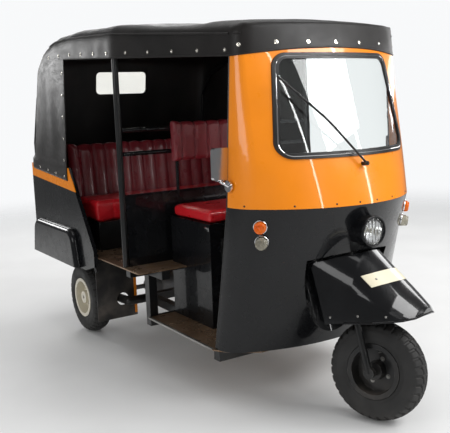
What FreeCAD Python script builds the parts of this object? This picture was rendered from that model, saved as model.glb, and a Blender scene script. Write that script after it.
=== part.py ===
"""Auto rickshaw: a three-wheeled passenger vehicle with a steered front wheel, an open
driver's place, a bench for passengers and a cloth canopy.

The front looks along -Y, the vehicle's left is +X and Z is up. The origin lies on the
ground under the middle of the vehicle. All sizes are millimetres and degrees.
"""
import FreeCAD, Part
import math
import os
import re
import Sketcher
from FreeCAD import Placement, Rotation, Vector

# Name, value, what it is
SIZES = (
    ("wheelbase", 1885, "front axle to rear axle"),
    ("front_axle_y", -1104, "place of the front axle along the vehicle"),
    ("rear_track_half", 480, "middle plane to the middle of a rear tyre"),
    ("seat_gap", 0.3, "gap between pieces that rest on each other"),
    ("pin_fit", 0.05, "running clearance on a pin, a stem or an axle"),
    ("tyre_radius", 208, "outer radius of a tyre"),
    ("tyre_half", 56, "half the width of a tyre"),
    ("tread_half", 48, "half the width of the tread"),
    ("tread_drop", 18, "height of the crown over the tread's edge"),
    ("rim_half", 54, "half the width of a wheel rim"),
    ("rim_flange", 114, "outer radius of the rim's flange"),
    ("rim_seat", 99, "radius of the seat under the tyre"),
    ("rim_wall", 4, "sheet of the rim"),
    ("hub_half", 46, "half the length of a hub"),
    ("hub_radius", 36, "outer radius of a hub"),
    ("axle_radius", 10, "radius of a stub axle"),
    ("steer_rake", 20, "lean of the steering axis from upright"),
    ("steer_rest", 22, "left turn of the front wheel as it is parked"),
    ("fork_half", 82, "middle plane to the middle of a fork leg"),
    ("fork_leg", 14, "radius of a fork leg"),
    ("stem_radius", 17, "radius of the steering stem"),
    ("crown_height", 268, "fork crown above the axle, along the steering axis"),
    ("bar_half", 262, "half the width of the handlebar"),
    ("bar_back", 70, "how far the handlebar's ends sweep back"),
    ("bar_radius", 12, "radius of the handlebar tube"),
    ("grip_radius", 17, "radius of a handlebar grip"),
    ("grip_length", 105, "length of a handlebar grip"),
    ("fender_wall", 4, "sheet of the front fender"),
    ("fender_top", 482, "top cut of the front fender, along the steering axis"),
    ("fender_back", 98, "steering axis to the rear edge of the front fender"),
    ("plate_half", 95, "half the width of the rear number plate"),
    ("plate_wall", 2, "sheet of a number plate"),
    ("badge_half", 148, "half the width of the plate bent over the front fender"),
    ("badge_tall", 56, "height of that plate, across its slope"),
    ("badge_y", -41, "middle of that plate, behind the front axle"),
    ("badge_height", 403, "middle of that plate, over the front axle"),
    ("badge_slope", 24, "slope of that plate's edges"),
    ("arch_radius", 224, "radius of the wheel arch in the nose"),
    ("arch_gap", 14, "top cut of the fender to the roof of the arch"),
    ("head_gap", 10, "roof of the arch to the head tube"),
    ("head_length", 194, "length of the head tube"),
    ("head_radius", 29, "outer radius of the head tube"),
    ("head_low", "=fender_top + arch_gap + head_gap", "lower end of the head tube, along the steering axis"),
    ("head_high", "=head_low + head_length", "upper end of the head tube, along the steering axis"),
    ("bar_rise", 162, "head tube to the handlebar, along the steering axis"),
    ("bar_height", "=head_high + bar_rise", "handlebar above the axle, along the steering axis"),
    ("down_radius", 20, "radius of the tube from the head tube to the rails"),
    ("cowl_wall", 6, "wall of the nose, its sheet and flange"),
    ("cowl_top", 1540, "top of the nose under the canopy"),
    ("nose_inset", 8, "straight stretch of the nose's side at its rear edge"),
    ("screen_low", 1090, "lower edge of the windscreen opening"),
    ("screen_high", 1508, "upper edge of the windscreen opening"),
    ("screen_low_half", 356, "half the width of the windscreen opening at its foot"),
    ("screen_high_half", 306, "half the width of the windscreen opening at its top"),
    ("screen_corner", 62, "corner radius of the windscreen opening"),
    ("seal_width", 24, "visible width of the windscreen rubber"),
    ("seal_proud", 6, "height of the windscreen rubber over the sheet"),
    ("glass_wall", 5, "thickness of the windscreen"),
    ("lamp_height", 785, "middle of the headlamp"),
    ("lamp_front_y", -1080, "front of the headlamp's rim"),
    ("lamp_radius", 63, "outer radius of the headlamp's shell"),
    ("lens_radius", 54, "radius of the headlamp's lens"),
    ("lens_bulge", 8, "bulge of the headlamp's lens"),
    ("lamp_wall", 5, "wall of the headlamp's shell"),
    ("side_lamp_radius", 25, "radius of the small front lamps"),
    ("side_lamp_proud", 16, "height of the small front lamps over the nose"),
    ("indicator_height", 822, "middle of the front indicators"),
    ("marker_height", 756, "middle of the front marker lamps"),
    ("mirror_x", 490, "middle plane to the middle of a mirror"),
    ("mirror_height", 1074, "middle of a mirror"),
    ("mirror_half", 40, "half the width of a mirror"),
    ("mirror_tall", 133, "height of a mirror"),
    ("floor_low", 252, "underside of the driver's floor"),
    ("floor_sheet", 6, "sheet of the floors with its ribs"),
    ("floor_half", 484, "half the width of the driver's floor"),
    ("floor_front_y", -744, "front edge of the driver's floor"),
    ("cabin_low", 520, "underside of the passengers' floor"),
    ("cabin_front_y", -124, "front edge of the passengers' floor"),
    ("tail_y", 1295, "rear face of the body at its middle"),
    ("tail_bow", 34, "bulge of the body's rear face"),
    ("tail_corner_y", "=tail_y - tail_bow", "rear face of the body at its corners"),
    ("waist", 986, "top of the body's sides"),
    ("body_half", 618, "half the width of the body at the waist"),
    ("side_wall", 22, "thickness of the body's side walls"),
    ("quarter_top_y", 652, "front edge of the side panel at the waist"),
    ("quarter_foot_y", 360, "front edge of the side panel at the floor"),
    ("skirt_low", 440, "lower edge of the body's sides"),
    ("rail_x", 250, "middle plane to the middle of a chassis rail"),
    ("rail_half", 22, "half the width of a chassis rail"),
    ("rail_depth", 44, "height of a chassis rail"),
    ("rail_front_y", -624, "front end of the low rails"),
    ("rail_rear_y", 476, "rear end of the low rails"),
    ("rail_tail_gap", 79, "rear end of the high rails to the body's rear face"),
    ("rail_top_rear_y", "=tail_y - rail_tail_gap", "rear end of the high rails"),
    ("post_y", 56, "place of the side posts along the vehicle"),
    ("post_radius", 15, "radius of the side posts"),
    ("post_gap", 6, "side post to the plane of the body's wall"),
    ("post_x", "=body_half - side_wall - post_gap - post_radius", "middle plane to the middle of a side post"),
    ("bow_radius", 11, "radius of the hood bows"),
    ("bow_drop", 32, "middle of a side rail below the canopy's eave"),
    ("bow_gap", 6, "gap between a side rail and the body's walls"),
    ("canopy_wall", 5, "cloth of the canopy with its lining"),
    ("eave_height", 1600, "height at which the canopy's eave sizes hold"),
    ("eave_half", 592, "half the width inside the canopy at the eaves"),
    ("eave_lean", 99, "how far the canopy's rear leans in at the eaves"),
    ("eave_bow", 50, "bulge of the canopy's rear at the eaves"),
    ("eave_tail_y", "=tail_y - eave_lean", "rear of the canopy at the eaves, at its middle"),
    ("eave_corner_y", "=eave_tail_y - eave_bow", "rear of the canopy at the eaves, at its corners"),
    ("shoulder_inset", 52, "how far the roof's shoulder lies inside the eave"),
    ("flap", 38, "how far the canopy hangs below its eaves at the doors"),
    ("hem_front", 1530, "lower edge of the canopy over the windscreen"),
    ("hem_side", 1504, "lower edge of the canopy at the nose's rear edge"),
    ("hem_quarter", 915, "lower edge of the canopy at the front of the side panels"),
    ("hem_tail", 960, "lower edge of the canopy at the rear"),
    ("window_half", 179, "half the width of the rear window"),
    ("window_low", 1388, "lower edge of the rear window"),
    ("window_high", 1533, "upper edge of the rear window"),
    ("window_corner", 30, "corner radius of the rear window"),
    ("bench_half", 540, "half the width of the passengers' bench"),
    ("bench_front_y", 506, "front of the passengers' bench"),
    ("bench_rear_y", 838, "front of the passengers' backrest at its foot"),
    ("bench_low", 684, "underside of the passengers' cushion"),
    ("bench_pad", 118, "thickness of the passengers' cushion"),
    ("backrest_top", 1125, "top of the passengers' backrest"),
    ("backrest_pad", 90, "thickness of the passengers' backrest"),
    ("backrest_lean", 6, "lean of the passengers' backrest"),
    ("backrest_edge", 18, "rounding of the passengers' backrest"),
    ("box_half", 332, "half the width of the driver's seat box"),
    ("box_front_y", -354, "front of the driver's seat box"),
    ("box_rear_y", 16, "rear of the driver's seat box"),
    ("box_high", 761, "top of the driver's seat box"),
    ("box_wall", 8, "sheet of the seat box with its folded edges"),
    ("door_side", 60, "side of the seat box to the mouth under its door"),
    ("door_foot", 216, "underside of the driver's floor to the mouth"),
    ("door_head", 70, "top of the seat box to the mouth"),
    ("driver_pad", 62, "thickness of the driver's cushion"),
    ("door_gap", 5, "gap around the engine door and the boot lid"),
    ("pin_radius", 4, "radius of the pins of the lid's and the door's hinges"),
    ("knuckle_radius", 9, "outer radius of a hinge knuckle"),
    ("knuckle_length", 30, "length of a hinge knuckle"),
    ("partition_y", 46, "front face of the partition behind the driver"),
    ("partition_wall", 12, "thickness of the partition"),
    ("partition_top", 885, "top of the partition"),
    ("rail_tube", 11, "radius of the rails behind the driver"),
    ("rest_low", 1023, "lower edge of the driver's backrest"),
    ("rest_high", 1246, "upper edge of the driver's backrest"),
    ("rest_half", 323, "half the width of the driver's backrest"),
    ("rest_pad", 55, "thickness of the driver's backrest"),
    ("rear_fender_out", 34, "how far a rear fender stands out"),
    ("rear_fender_front_y", 548, "front end of a rear fender"),
    ("rear_fender_rear_y", "=tail_corner_y - 5", "rear end of a rear fender"),
    ("rear_fender_low", 444, "lower edge of a rear fender"),
    ("rear_fender_high", 650, "top of a rear fender"),
    ("rear_fender_slant", 46, "lean of a rear fender's ends"),
    ("rear_fender_corner", 84, "radius of a rear fender's upper corners"),
    ("rear_fender_edge", 26, "radius of a rear fender's outer edge"),
    ("lid_half", 300, "half the width of the boot lid"),
    ("lid_low", 560, "lower edge of the boot lid"),
    ("lid_high", 900, "upper edge of the boot lid"),
    ("bumper_radius", 16, "radius of the rear bumper's tube"),
    ("bumper_height", 398, "middle of the rear bumper"),
    ("arm_radius", 24, "radius of a rear arm"),
    ("drum_radius", 84, "radius of a rear brake drum"),
    ("drum_length", 44, "length of a rear brake drum"),
    ("shock_radius", 30, "radius of a shock absorber with its spring"),
    ("shaft_radius", 14, "radius of a half shaft"),
    ("case_radius", 92, "radius of the final drive's case"),
)

# Row, height, half width, rear edge, front, corner radius
NOSE_ROWS = (
    ("foot", "=floor_low + floor_sheet + seat_gap", 472, -597, -811, 120),
    ("knee", 560, 470, -658, -927, 150),
    ("band", 896, 470, -722, -1057, 190),
    ("scuttle", 1090, 459, -722, -1009, 160),
    ("screen", 1500, 436, -722, -877, 60),
    ("brow", 1600, 430, -722, -846, 50),
    ("crown", 1790, 418, -722, -792, 34),
)
NOSE_COLUMNS = ("height", "half", "rear", "front", "corner")
LOWER_ROWS = ("foot", "knee", "band")
UPPER_ROWS = ("band", "scuttle", "screen", "brow", "crown")

# Row, place along the vehicle, height of the eave, of the roof's shoulder and of its middle
HOOD_ROWS = (
    ("visor", -960, 1546, 1592, 1602),
    ("nose", -722, 1558, 1638, 1652),
    ("post", 56, 1596, 1694, 1712),
    ("middle", 500, 1612, 1712, 1726),
    ("rear", 800, 1617, 1706, 1724),
    ("slope", "=tail_y - 275", 1560, 1658, 1690),
    ("tail", "=tail_y - 130", 1450, 1560, 1624),
    ("end", "=tail_y + 65", 1200, 1340, 1450),
)
HOOD_COLUMNS = ("place", "eave", "shoulder", "top")

# Row, distance ahead of the front axle, half width, lower edge, spring and top of the arch over the axle
FENDER_ROWS = (
    ("tip", 192, 50, 268, 272, 291),
    ("lip", 178, 100, 258, 262, 304),
    ("brow", 142, 142, 247, 251, 333),
    ("front", 100, 162, 238, 272, 366),
    ("middle", 30, 169, 222, 303, 422),
    ("back", -64, 170, 206, 336, 502),
    ("rear", -270, 170, 160, 412, 582),
)
FENDER_COLUMNS = ("ahead", "half", "low", "spring", "top")
TABLES = (("nose", NOSE_COLUMNS, NOSE_ROWS), ("hood", HOOD_COLUMNS, HOOD_ROWS), ("fender", FENDER_COLUMNS, FENDER_ROWS))

doc = FreeCAD.newDocument("auto_rickshaw")
sheet = doc.addObject("Spreadsheet::Sheet", "sizes")
cells = [(name, size) for name, size, _ in SIZES]
for table, columns, rows in TABLES:
    for row in rows:
        cells += [("%s_%s_%s" % (table, row[0], column), size) for column, size in zip(columns, row[1:])]
for line, (name, size) in enumerate(cells, 1):
    sheet.set("A%d" % line, name)
    sheet.set("B%d" % line, str(size))
    sheet.setAlias("B%d" % line, name)
doc.recompute()
NAMES = {name for name, _ in cells}
kept = []

REAR_AXLE_Y = "(front_axle_y + wheelbase)"
LEG_Y = "(box_rear_y + door_gap)"
CABIN_TOP = "(cabin_low + floor_sheet + seat_gap)"
CABIN_HALF = "(body_half - side_wall - seat_gap)"
HUB_FACE = "(rear_track_half - hub_half - seat_gap)"
ARM_X = "(rear_track_half - hub_half - seat_gap - 50)"
LID_HINGE = ("tail_y + knuckle_radius + 3", "lid_high + door_gap / 2")
DOOR_HINGE = ("box_front_y - knuckle_radius - 3", "floor_low + door_foot + door_gap / 2")
CROWN_RADIUS = "((tread_half * tread_half + tread_drop * tread_drop) / (2 * tread_drop))"
LEAN = "asin(sin(steer_rest) * sin(steer_rake))"
FRONT_HUB_Z = "((tyre_radius - %s) * cos(%s) + %s)" % (CROWN_RADIUS, LEAN, CROWN_RADIUS)
STEERED = ("placement(vector(0; front_axle_y; %s); "
           "rotation(vector(0; sin(steer_rake); cos(steer_rake)); steer_rest))" % FRONT_HUB_Z)


def cell(text):
    """Point every size name in an expression at its cell."""
    return re.sub(r"[a-z_]+", lambda word: ("sizes." if word.group() in NAMES else "") + word.group(), str(text))


def value(text):
    """The number that an expression of sizes stands for."""
    return float(sheet.evalExpression(cell(text)))


def point(x, y, z):
    """A vector of three expressions."""
    return Vector(value(x), value(y), value(z))


def keep(thing, label):
    """Name a finished sub-part and list it for writing."""
    thing.Label = label
    kept.append(thing)
    return thing


def place(thing, x="0", y="0", z="0", whole=None):
    """Bind where a sub-part stands, by its base or by a whole placement."""
    if whole:
        thing.setExpression("Placement", cell(whole))
    else:
        for axis, text in zip("xyz", (x, y, z)):
            thing.setExpression("Placement.Base." + axis, cell(text))
    return thing


def block(name, low, high):
    """A box between two corners."""
    box = doc.addObject("Part::Box", name)
    for side, start, end in zip(("Length", "Width", "Height"), low, high):
        box.setExpression(side, cell("%s - (%s)" % (end, start)))
    return place(box, *low)


def rod(name, radius, start, length, axis="z"):
    """A cylinder along one axis, from its start towards +."""
    bar = doc.addObject("Part::Cylinder", name)
    bar.Placement.Rotation = {
        "x": Rotation(Vector(0, 1, 0), 90),
        "y": Rotation(Vector(1, 0, 0), -90),
        "z": Rotation(),
    }[axis]
    bar.setExpression("Radius", cell(radius))
    bar.setExpression("Height", cell(length))
    return place(bar, *start)


def join(name, things):
    """One solid of pieces that touch."""
    fuse = doc.addObject("Part::MultiFuse", name)
    fuse.Shapes = things
    return fuse


def group(name, things):
    """Like pieces that do not touch, as one sub-part."""
    both = doc.addObject("Part::Compound", name)
    both.Links = things
    return both


def carve(name, base, tool):
    """The base without the tool."""
    cut = doc.addObject("Part::Cut", name)
    cut.Base = base
    cut.Tool = tool
    return cut


def shaped(name, shape):
    """A sub-part whose shape is made directly from the sizes."""
    piece = doc.addObject("Part::Feature", name)
    piece.Shape = shape
    return piece


def sketch(body, plane, points, arcs=()):
    """A closed outline on one of the body's planes.

    points holds two expressions each; arcs maps an edge's number to the expression of
    its radius, and such an edge bulges away from the middle of the outline.
    """
    outline = body.newObject("Sketcher::SketchObject", body.Name + "_outline")
    origin_plane = [item for item in body.Origin.OriginFeatures if item.Role == plane][0]
    outline.AttachmentSupport = [(origin_plane, "")]
    outline.MapMode = "FlatFace"
    arcs = dict(arcs)
    spots = [Vector(value(across), value(up), 0) for across, up in points]
    middle = sum(spots, Vector()) / len(spots)
    ends = []
    for edge, start in enumerate(spots):
        end = spots[(edge + 1) % len(spots)]
        if edge not in arcs:
            outline.addGeometry(Part.LineSegment(start, end), False)
            ends.append((1, 2))
            continue
        radius = value(arcs[edge])
        half = (end - start) / 2
        centre_side = Vector(-half.y, half.x, 0).normalize()
        if centre_side.dot(middle - start - half) < 0:
            centre_side = -centre_side
        centre = start + half + centre_side * math.sqrt(radius ** 2 - half.Length ** 2)
        angles = [math.atan2(spot.y - centre.y, spot.x - centre.x) for spot in (start, end)]
        turns_left = (start - centre).cross(end - centre).z > 0
        if not turns_left:
            angles.reverse()
        circle = Part.Circle(centre, Vector(0, 0, 1), radius)
        outline.addGeometry(Part.ArcOfCircle(circle, *angles), False)
        ends.append((1, 2) if turns_left else (2, 1))
        bound = outline.addConstraint(Sketcher.Constraint("Radius", edge, radius))
        outline.setExpression("Constraints[%d]" % bound, cell(arcs[edge]))
    for edge in range(len(spots)):
        after = (edge + 1) % len(spots)
        outline.addConstraint(Sketcher.Constraint("Coincident", edge, ends[edge][1], after, ends[after][0]))
    for edge, spot in enumerate(spots):
        for kind, number, text in (("DistanceX", spot.x, points[edge][0]), ("DistanceY", spot.y, points[edge][1])):
            bound = outline.addConstraint(Sketcher.Constraint(kind, edge, ends[edge][0], number))
            outline.setExpression("Constraints[%d]" % bound, cell(text))
    return outline


def new_body(name):
    """An empty body."""
    return doc.addObject("PartDesign::Body", name)


def padded(name, plane, points, length, arcs=(), centred=False, rounding=None):
    """A body padded from one outline, with all its edges rounded if asked."""
    body = new_body(name)
    outline = sketch(body, plane, points, arcs)
    pad = body.newObject("PartDesign::Pad", name + "_pad")
    pad.Profile = outline
    pad.Midplane = centred
    pad.setExpression("Length", cell(length))
    doc.recompute()
    if rounding:
        fillet = body.newObject("PartDesign::Fillet", name + "_fillet")
        fillet.Base = (pad, ["Edge%d" % number for number in range(1, len(pad.Shape.Edges) + 1)])
        fillet.setExpression("Radius", cell(rounding))
    return body


def turned(name, points, arcs=(), axis="H_Axis"):
    """A body turned about an axis of its outline on the XY plane."""
    body = new_body(name)
    outline = sketch(body, "XY_Plane", points, arcs)
    turn = body.newObject("PartDesign::Revolution", name + "_turn")
    turn.Profile = outline
    turn.ReferenceAxis = (outline, [axis])
    turn.Angle = 360
    return body


def rectangle(left, right, low, high):
    """The corners of a rectangle."""
    return ((left, low), (right, low), (right, high), (left, high))


def tube_path(points, bend):
    """A path of straight runs joined by arcs of one radius."""
    edges = []
    start = points[0]
    for before, corner, after in zip(points, points[1:], points[2:]):
        into = (corner - before).normalize()
        out = (after - corner).normalize()
        half_turn = into.getAngle(out) / 2
        reach = bend * math.tan(half_turn)
        first = corner - into * reach
        last = corner + out * reach
        inward = (out - into).normalize()
        middle = corner + inward * (bend / math.cos(half_turn) - bend)
        edges.append(Part.LineSegment(start, first).toShape())
        edges.append(Part.Arc(first, middle, last).toShape())
        start = last
    edges.append(Part.LineSegment(start, points[-1]).toShape())
    return Part.Wire(edges)


def tube(points, radius, bend):
    """A round bar along a bent path."""
    path = tube_path(points, bend)
    ring = Part.Wire(Part.makeCircle(radius, points[0], points[1] - points[0]))
    return path.makePipeShell([ring], True, False)


def bar_between(start, end, radius):
    """A straight round bar between two points."""
    return Part.makeCylinder(radius, (end - start).Length, start, end - start)


def arc_of(start, middle, end):
    """An arc edge through three points."""
    return Part.Arc(start, middle, end).toShape()


def line_of(start, end):
    """A straight edge."""
    return Part.LineSegment(start, end).toShape()


def outline_of(spots, bulges):
    """A closed wire through spots; bulges maps an edge's number to a point of its arc."""
    edges = []
    for edge, start in enumerate(spots):
        end = spots[(edge + 1) % len(spots)]
        edges.append(arc_of(start, bulges[edge], end) if edge in bulges else line_of(start, end))
    return Part.Wire(edges)


def mirrored(spots):
    """The same spots on the vehicle's other side, in the opposite order."""
    return [Vector(-spot.x, spot.y, spot.z) for spot in reversed(spots)]


def nose_wire(row, grow=0, open_back=0):
    """One level of the nose: a flat front arc, two corner arcs and a straight back."""
    height, half, rear, front, corner = (value("nose_%s_%s" % (row, column)) for column in NOSE_COLUMNS)
    half += grow
    front -= grow
    corner += grow
    side = rear - value("nose_inset")
    depth = side - front
    big = ((half - corner) ** 2 + depth ** 2 - corner ** 2) / (2 * (depth - corner))
    towards = Vector(half - corner, side - front - big, 0).normalize()
    hub = Vector(half - corner, side, height)
    touch = hub + towards * corner
    middle = hub + (towards + Vector(1, 0, 0)).normalize() * corner
    left = [Vector(half, rear + open_back, height), Vector(half, side, height), touch]
    right = mirrored(left)
    return outline_of(left + right, {1: middle, 2: Vector(0, front, height), 3: Vector(-middle.x, middle.y, height)})


def nose_solid(rows, grow=0, open_back=0):
    """The solid nose between its levels."""
    return Part.makeLoft([nose_wire(row, grow, open_back) for row in rows], True, False)


def nose_shell(rows, outside, inside, open_back=80):
    """The wall of the nose between two offsets from its face."""
    return nose_solid(rows, outside).cut(nose_solid(rows, inside, open_back))


def rounded_prism(left, right, corner, start_y, end_y):
    """A prism along Y between a foot and a top width, with rounded corners.

    left and right are the half width and the height of the section's foot and of its top.
    """
    spots = [Vector(-left[0], start_y, left[1]), Vector(left[0], start_y, left[1]),
             Vector(right[0], start_y, right[1]), Vector(-right[0], start_y, right[1])]
    plate = Part.Face(outline_of(spots, {})).extrude(Vector(0, end_y - start_y, 0))
    along = [edge for edge in plate.Edges if abs(edge.tangentAt(edge.FirstParameter).y) > 0.99]
    return plate.makeFillet(corner, along)


def screen_prism(less):
    """The windscreen opening, made smaller all round by some amount."""
    return rounded_prism(
        (value("screen_low_half") - less, value("screen_low") + less),
        (value("screen_high_half") - less, value("screen_high") - less),
        value("screen_corner") - less, value("nose_band_front") - 50, value("nose_screen_rear") - 20)


def window_prism(less):
    """The rear window, made smaller all round by some amount."""
    half = value("window_half") - less
    return rounded_prism((half, value("window_low") + less), (half, value("window_high") - less),
                         value("window_corner") - less, value("quarter_top_y"), value("tail_y + 60"))


def steering_frame():
    """The place and the turn of the steered pieces."""
    return sheet.evalExpression(cell(STEERED))


def on_axis(distance):
    """A point of the steering axis in the fork's own frame."""
    rake = math.radians(value("steer_rake"))
    return Vector(0, math.sin(rake), math.cos(rake)) * value(distance)


def axis_in_vehicle(distance):
    """A point of the steering axis in the vehicle's frame."""
    return point("0", "front_axle_y", FRONT_HUB_Z) + on_axis(distance)


def cowl_lower():
    """The black lower nose with its wheel arch and the hole for the stem."""
    wall = value("cowl_wall")
    direction = on_axis("1")
    start = axis_in_vehicle("-300")
    roof = value("fender_top + arch_gap") + 300
    radius = value("arch_radius")
    arch = Part.makeCylinder(radius, roof, start, direction)
    arch_skin = Part.makeCylinder(radius + wall, roof + wall, start, direction)
    outer = nose_solid(LOWER_ROWS).cut(arch)
    inner = nose_solid(LOWER_ROWS, -wall, 80).cut(arch_skin)
    hole = Part.makeCylinder(value("head_radius + 1"), 400, axis_in_vehicle("fender_top"), direction)
    return keep(shaped("cowl_lower", outer.cut(inner).cut(hole)), "cowl_lower")


def cowl_upper():
    """The orange upper nose with the windscreen opening."""
    shell = nose_shell(UPPER_ROWS, 0, -value("cowl_wall"))
    shell.translate(Vector(0, 0, value("seat_gap")))
    over = Part.makeBox(1400, 900, 400, Vector(-700, -1300, value("cowl_top")))
    return keep(shaped("cowl_upper", shell.cut(over).cut(screen_prism(0))), "cowl_upper")


def windscreen():
    """The curved windscreen and the rubber that holds it."""
    gap = value("seat_gap")
    width = value("seal_width")
    skin = nose_shell(UPPER_ROWS, value("seal_proud"), -value("cowl_wall") - 3)
    seal = skin.common(screen_prism(gap)).cut(screen_prism(width))
    keep(shaped("windscreen_seal", seal), "windscreen_seal")
    pane = nose_shell(UPPER_ROWS, 0, -value("glass_wall"))
    keep(shaped("windscreen_glass", pane.common(screen_prism(width + gap))), "windscreen_glass")


def wiper():
    """The wiper: its boss on the nose, its arm and its blade."""
    boss = point("0", "nose_scuttle_front - 7", "screen_low - 34")
    elbow = boss + Vector(0, -26, 4)
    tip = point("-330", "nose_screen_front - 12", "screen_high - 90")
    middle = (elbow + tip) / 2 + Vector(0, -34, 0)
    spindle = bar_between(boss + Vector(0, 12, 0), elbow + Vector(0, -6, 0), 9)
    arm = tube([elbow, middle, tip], 4.5, 300)
    whole = spindle.fuse(arm).cut(nose_solid(UPPER_ROWS, value("seat_gap")))
    return keep(shaped("wiper", whole), "wiper")


def headlamp():
    """The headlamp: a round shell on the nose and its lens."""
    shell = turned("headlamp_drum", (
        ("0", "lens_radius + seat_gap"), ("lamp_wall * 2", "lens_radius + seat_gap"),
        ("lamp_wall * 2", "lens_radius - lamp_wall"), ("110", "lens_radius - lamp_wall"),
        ("110", "lamp_radius"), ("lamp_wall", "lamp_radius"), ("0", "lamp_radius - 3")))
    lens = turned("headlamp_lens", (
        ("-lens_bulge", "0"), ("8", "0"), ("8", "lens_radius"), ("0", "lens_radius")),
        {3: "(lens_radius ^ 2 + lens_bulge ^ 2) / (2 * lens_bulge)"})
    for body in (shell, lens):
        place(body, whole="placement(vector(0; lamp_front_y; lamp_height); rotation(vector(0; 0; 1); 90))")
    face = shaped("headlamp_seat", nose_solid(LOWER_ROWS, value("seat_gap")))
    keep(carve("headlamp_shell", shell, face), "headlamp_shell")
    keep(lens, "headlamp_lens")


def front_lamps():
    """The small round lamps on the nose's corners: indicators above, marker lamps below."""
    outward = Vector(0.76, -0.65, 0)
    seat = nose_solid(LOWER_ROWS, value("seat_gap"))
    radius = value("side_lamp_radius")
    for label, x, height in (("indicator_lamps", 408, "indicator_height"), ("marker_lamps", 404, "marker_height")):
        lamps = []
        for sign in (-1, 1):
            aim = Vector(sign * outward.x, outward.y, 0)
            root = Vector(sign * x, value("nose_scuttle_front + 146"), value(height))
            body = bar_between(root - aim * 30, root + aim * value("side_lamp_proud"), radius)
            rim = [edge for edge in body.Edges
                   if edge.isClosed() and (edge.CenterOfMass - root).dot(aim) > 0]
            lamps.append(body.makeFillet(8, rim).cut(seat))
        keep(shaped(label, Part.makeCompound(lamps)), label)


def mirrors():
    """The two mirrors on curved arms at the nose's rear edges."""
    pair = []
    for sign in (-1, 1):
        wall_x = value("nose_band_half + seat_gap")
        base = Vector(sign * wall_x, value("nose_band_rear - 22"), 985)
        head = Vector(sign * value("mirror_x"), value("nose_band_rear + 8"), value("mirror_height"))
        tall = value("mirror_tall")
        foot = head - Vector(0, 0, tall / 2 - 12)
        plate = bar_between(base, base + Vector(sign * 8, 0, 0), 24)
        arm = tube([base + Vector(sign * 4, 0, 0), Vector(sign * (wall_x + 34), base.y + 4, 1004),
                    foot + Vector(sign * 8, 0, -16), foot + Vector(0, 0, 10)], 6, 12)
        half = value("mirror_half")
        glass = rounded_prism((half, head.z - tall / 2), (half, head.z + tall / 2), 14, head.y - 10, head.y + 10)
        glass.translate(Vector(head.x, 0, 0))
        pair.append(plate.fuse([arm, glass]).cut(nose_solid(UPPER_ROWS, value("seat_gap"))))
    keep(shaped("mirrors", Part.makeCompound(pair)), "mirrors")


def wheel(name, tyre_name, whole):
    """One wheel: a pressed disc with its hub and rim, and the tyre on it."""
    disc = turned(name, (
        ("hub_half", "axle_radius + pin_fit"), ("hub_half", "hub_radius"), ("rim_wall", "hub_radius + 4"),
        ("rim_wall", "rim_seat - rim_wall - 6"), ("rim_half", "rim_seat - rim_wall"),
        ("rim_half", "rim_flange"), ("rim_half - rim_wall", "rim_flange"),
        ("rim_half - rim_wall", "rim_seat"), ("rim_wall - rim_half", "rim_seat"),
        ("rim_wall - rim_half", "rim_flange"), ("-rim_half", "rim_flange"),
        ("-rim_half", "rim_seat - rim_wall"), ("-rim_wall", "rim_seat - rim_wall - 6"),
        ("-rim_wall", "hub_radius + 4"), ("-hub_half", "hub_radius"), ("-hub_half", "axle_radius + pin_fit")))
    bead = "(rim_half - rim_wall - seat_gap)"
    side = "(((tyre_radius - tread_drop - rim_flange) / 2) ^ 2 / (2 * (tyre_half - %s)) + (tyre_half - %s) / 2)" % (
        bead, bead)
    tyre = turned(tyre_name, (
        ("-%s" % bead, "rim_seat + seat_gap"), (bead, "rim_seat + seat_gap"),
        (bead, "rim_flange + seat_gap"), ("tread_half", "tyre_radius - tread_drop"),
        ("-tread_half", "tyre_radius - tread_drop"), ("-%s" % bead, "rim_flange + seat_gap")),
        {2: side, 3: CROWN_RADIUS, 4: side})
    for body, label in ((disc, name), (tyre, tyre_name)):
        place(body, whole=whole)
        keep(body, label)


def wheels():
    """The steered front wheel and the two rear wheels."""
    wheel("front_wheel", "front_tyre", STEERED)
    for side, sign in (("left", ""), ("right", "-")):
        centre = "placement(vector(%srear_track_half; %s; tyre_radius); rotation(vector(0; 0; 1); 0))" % (
            sign, REAR_AXLE_Y)
        wheel("rear_wheel_" + side, "rear_tyre_" + side, centre)


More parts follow.
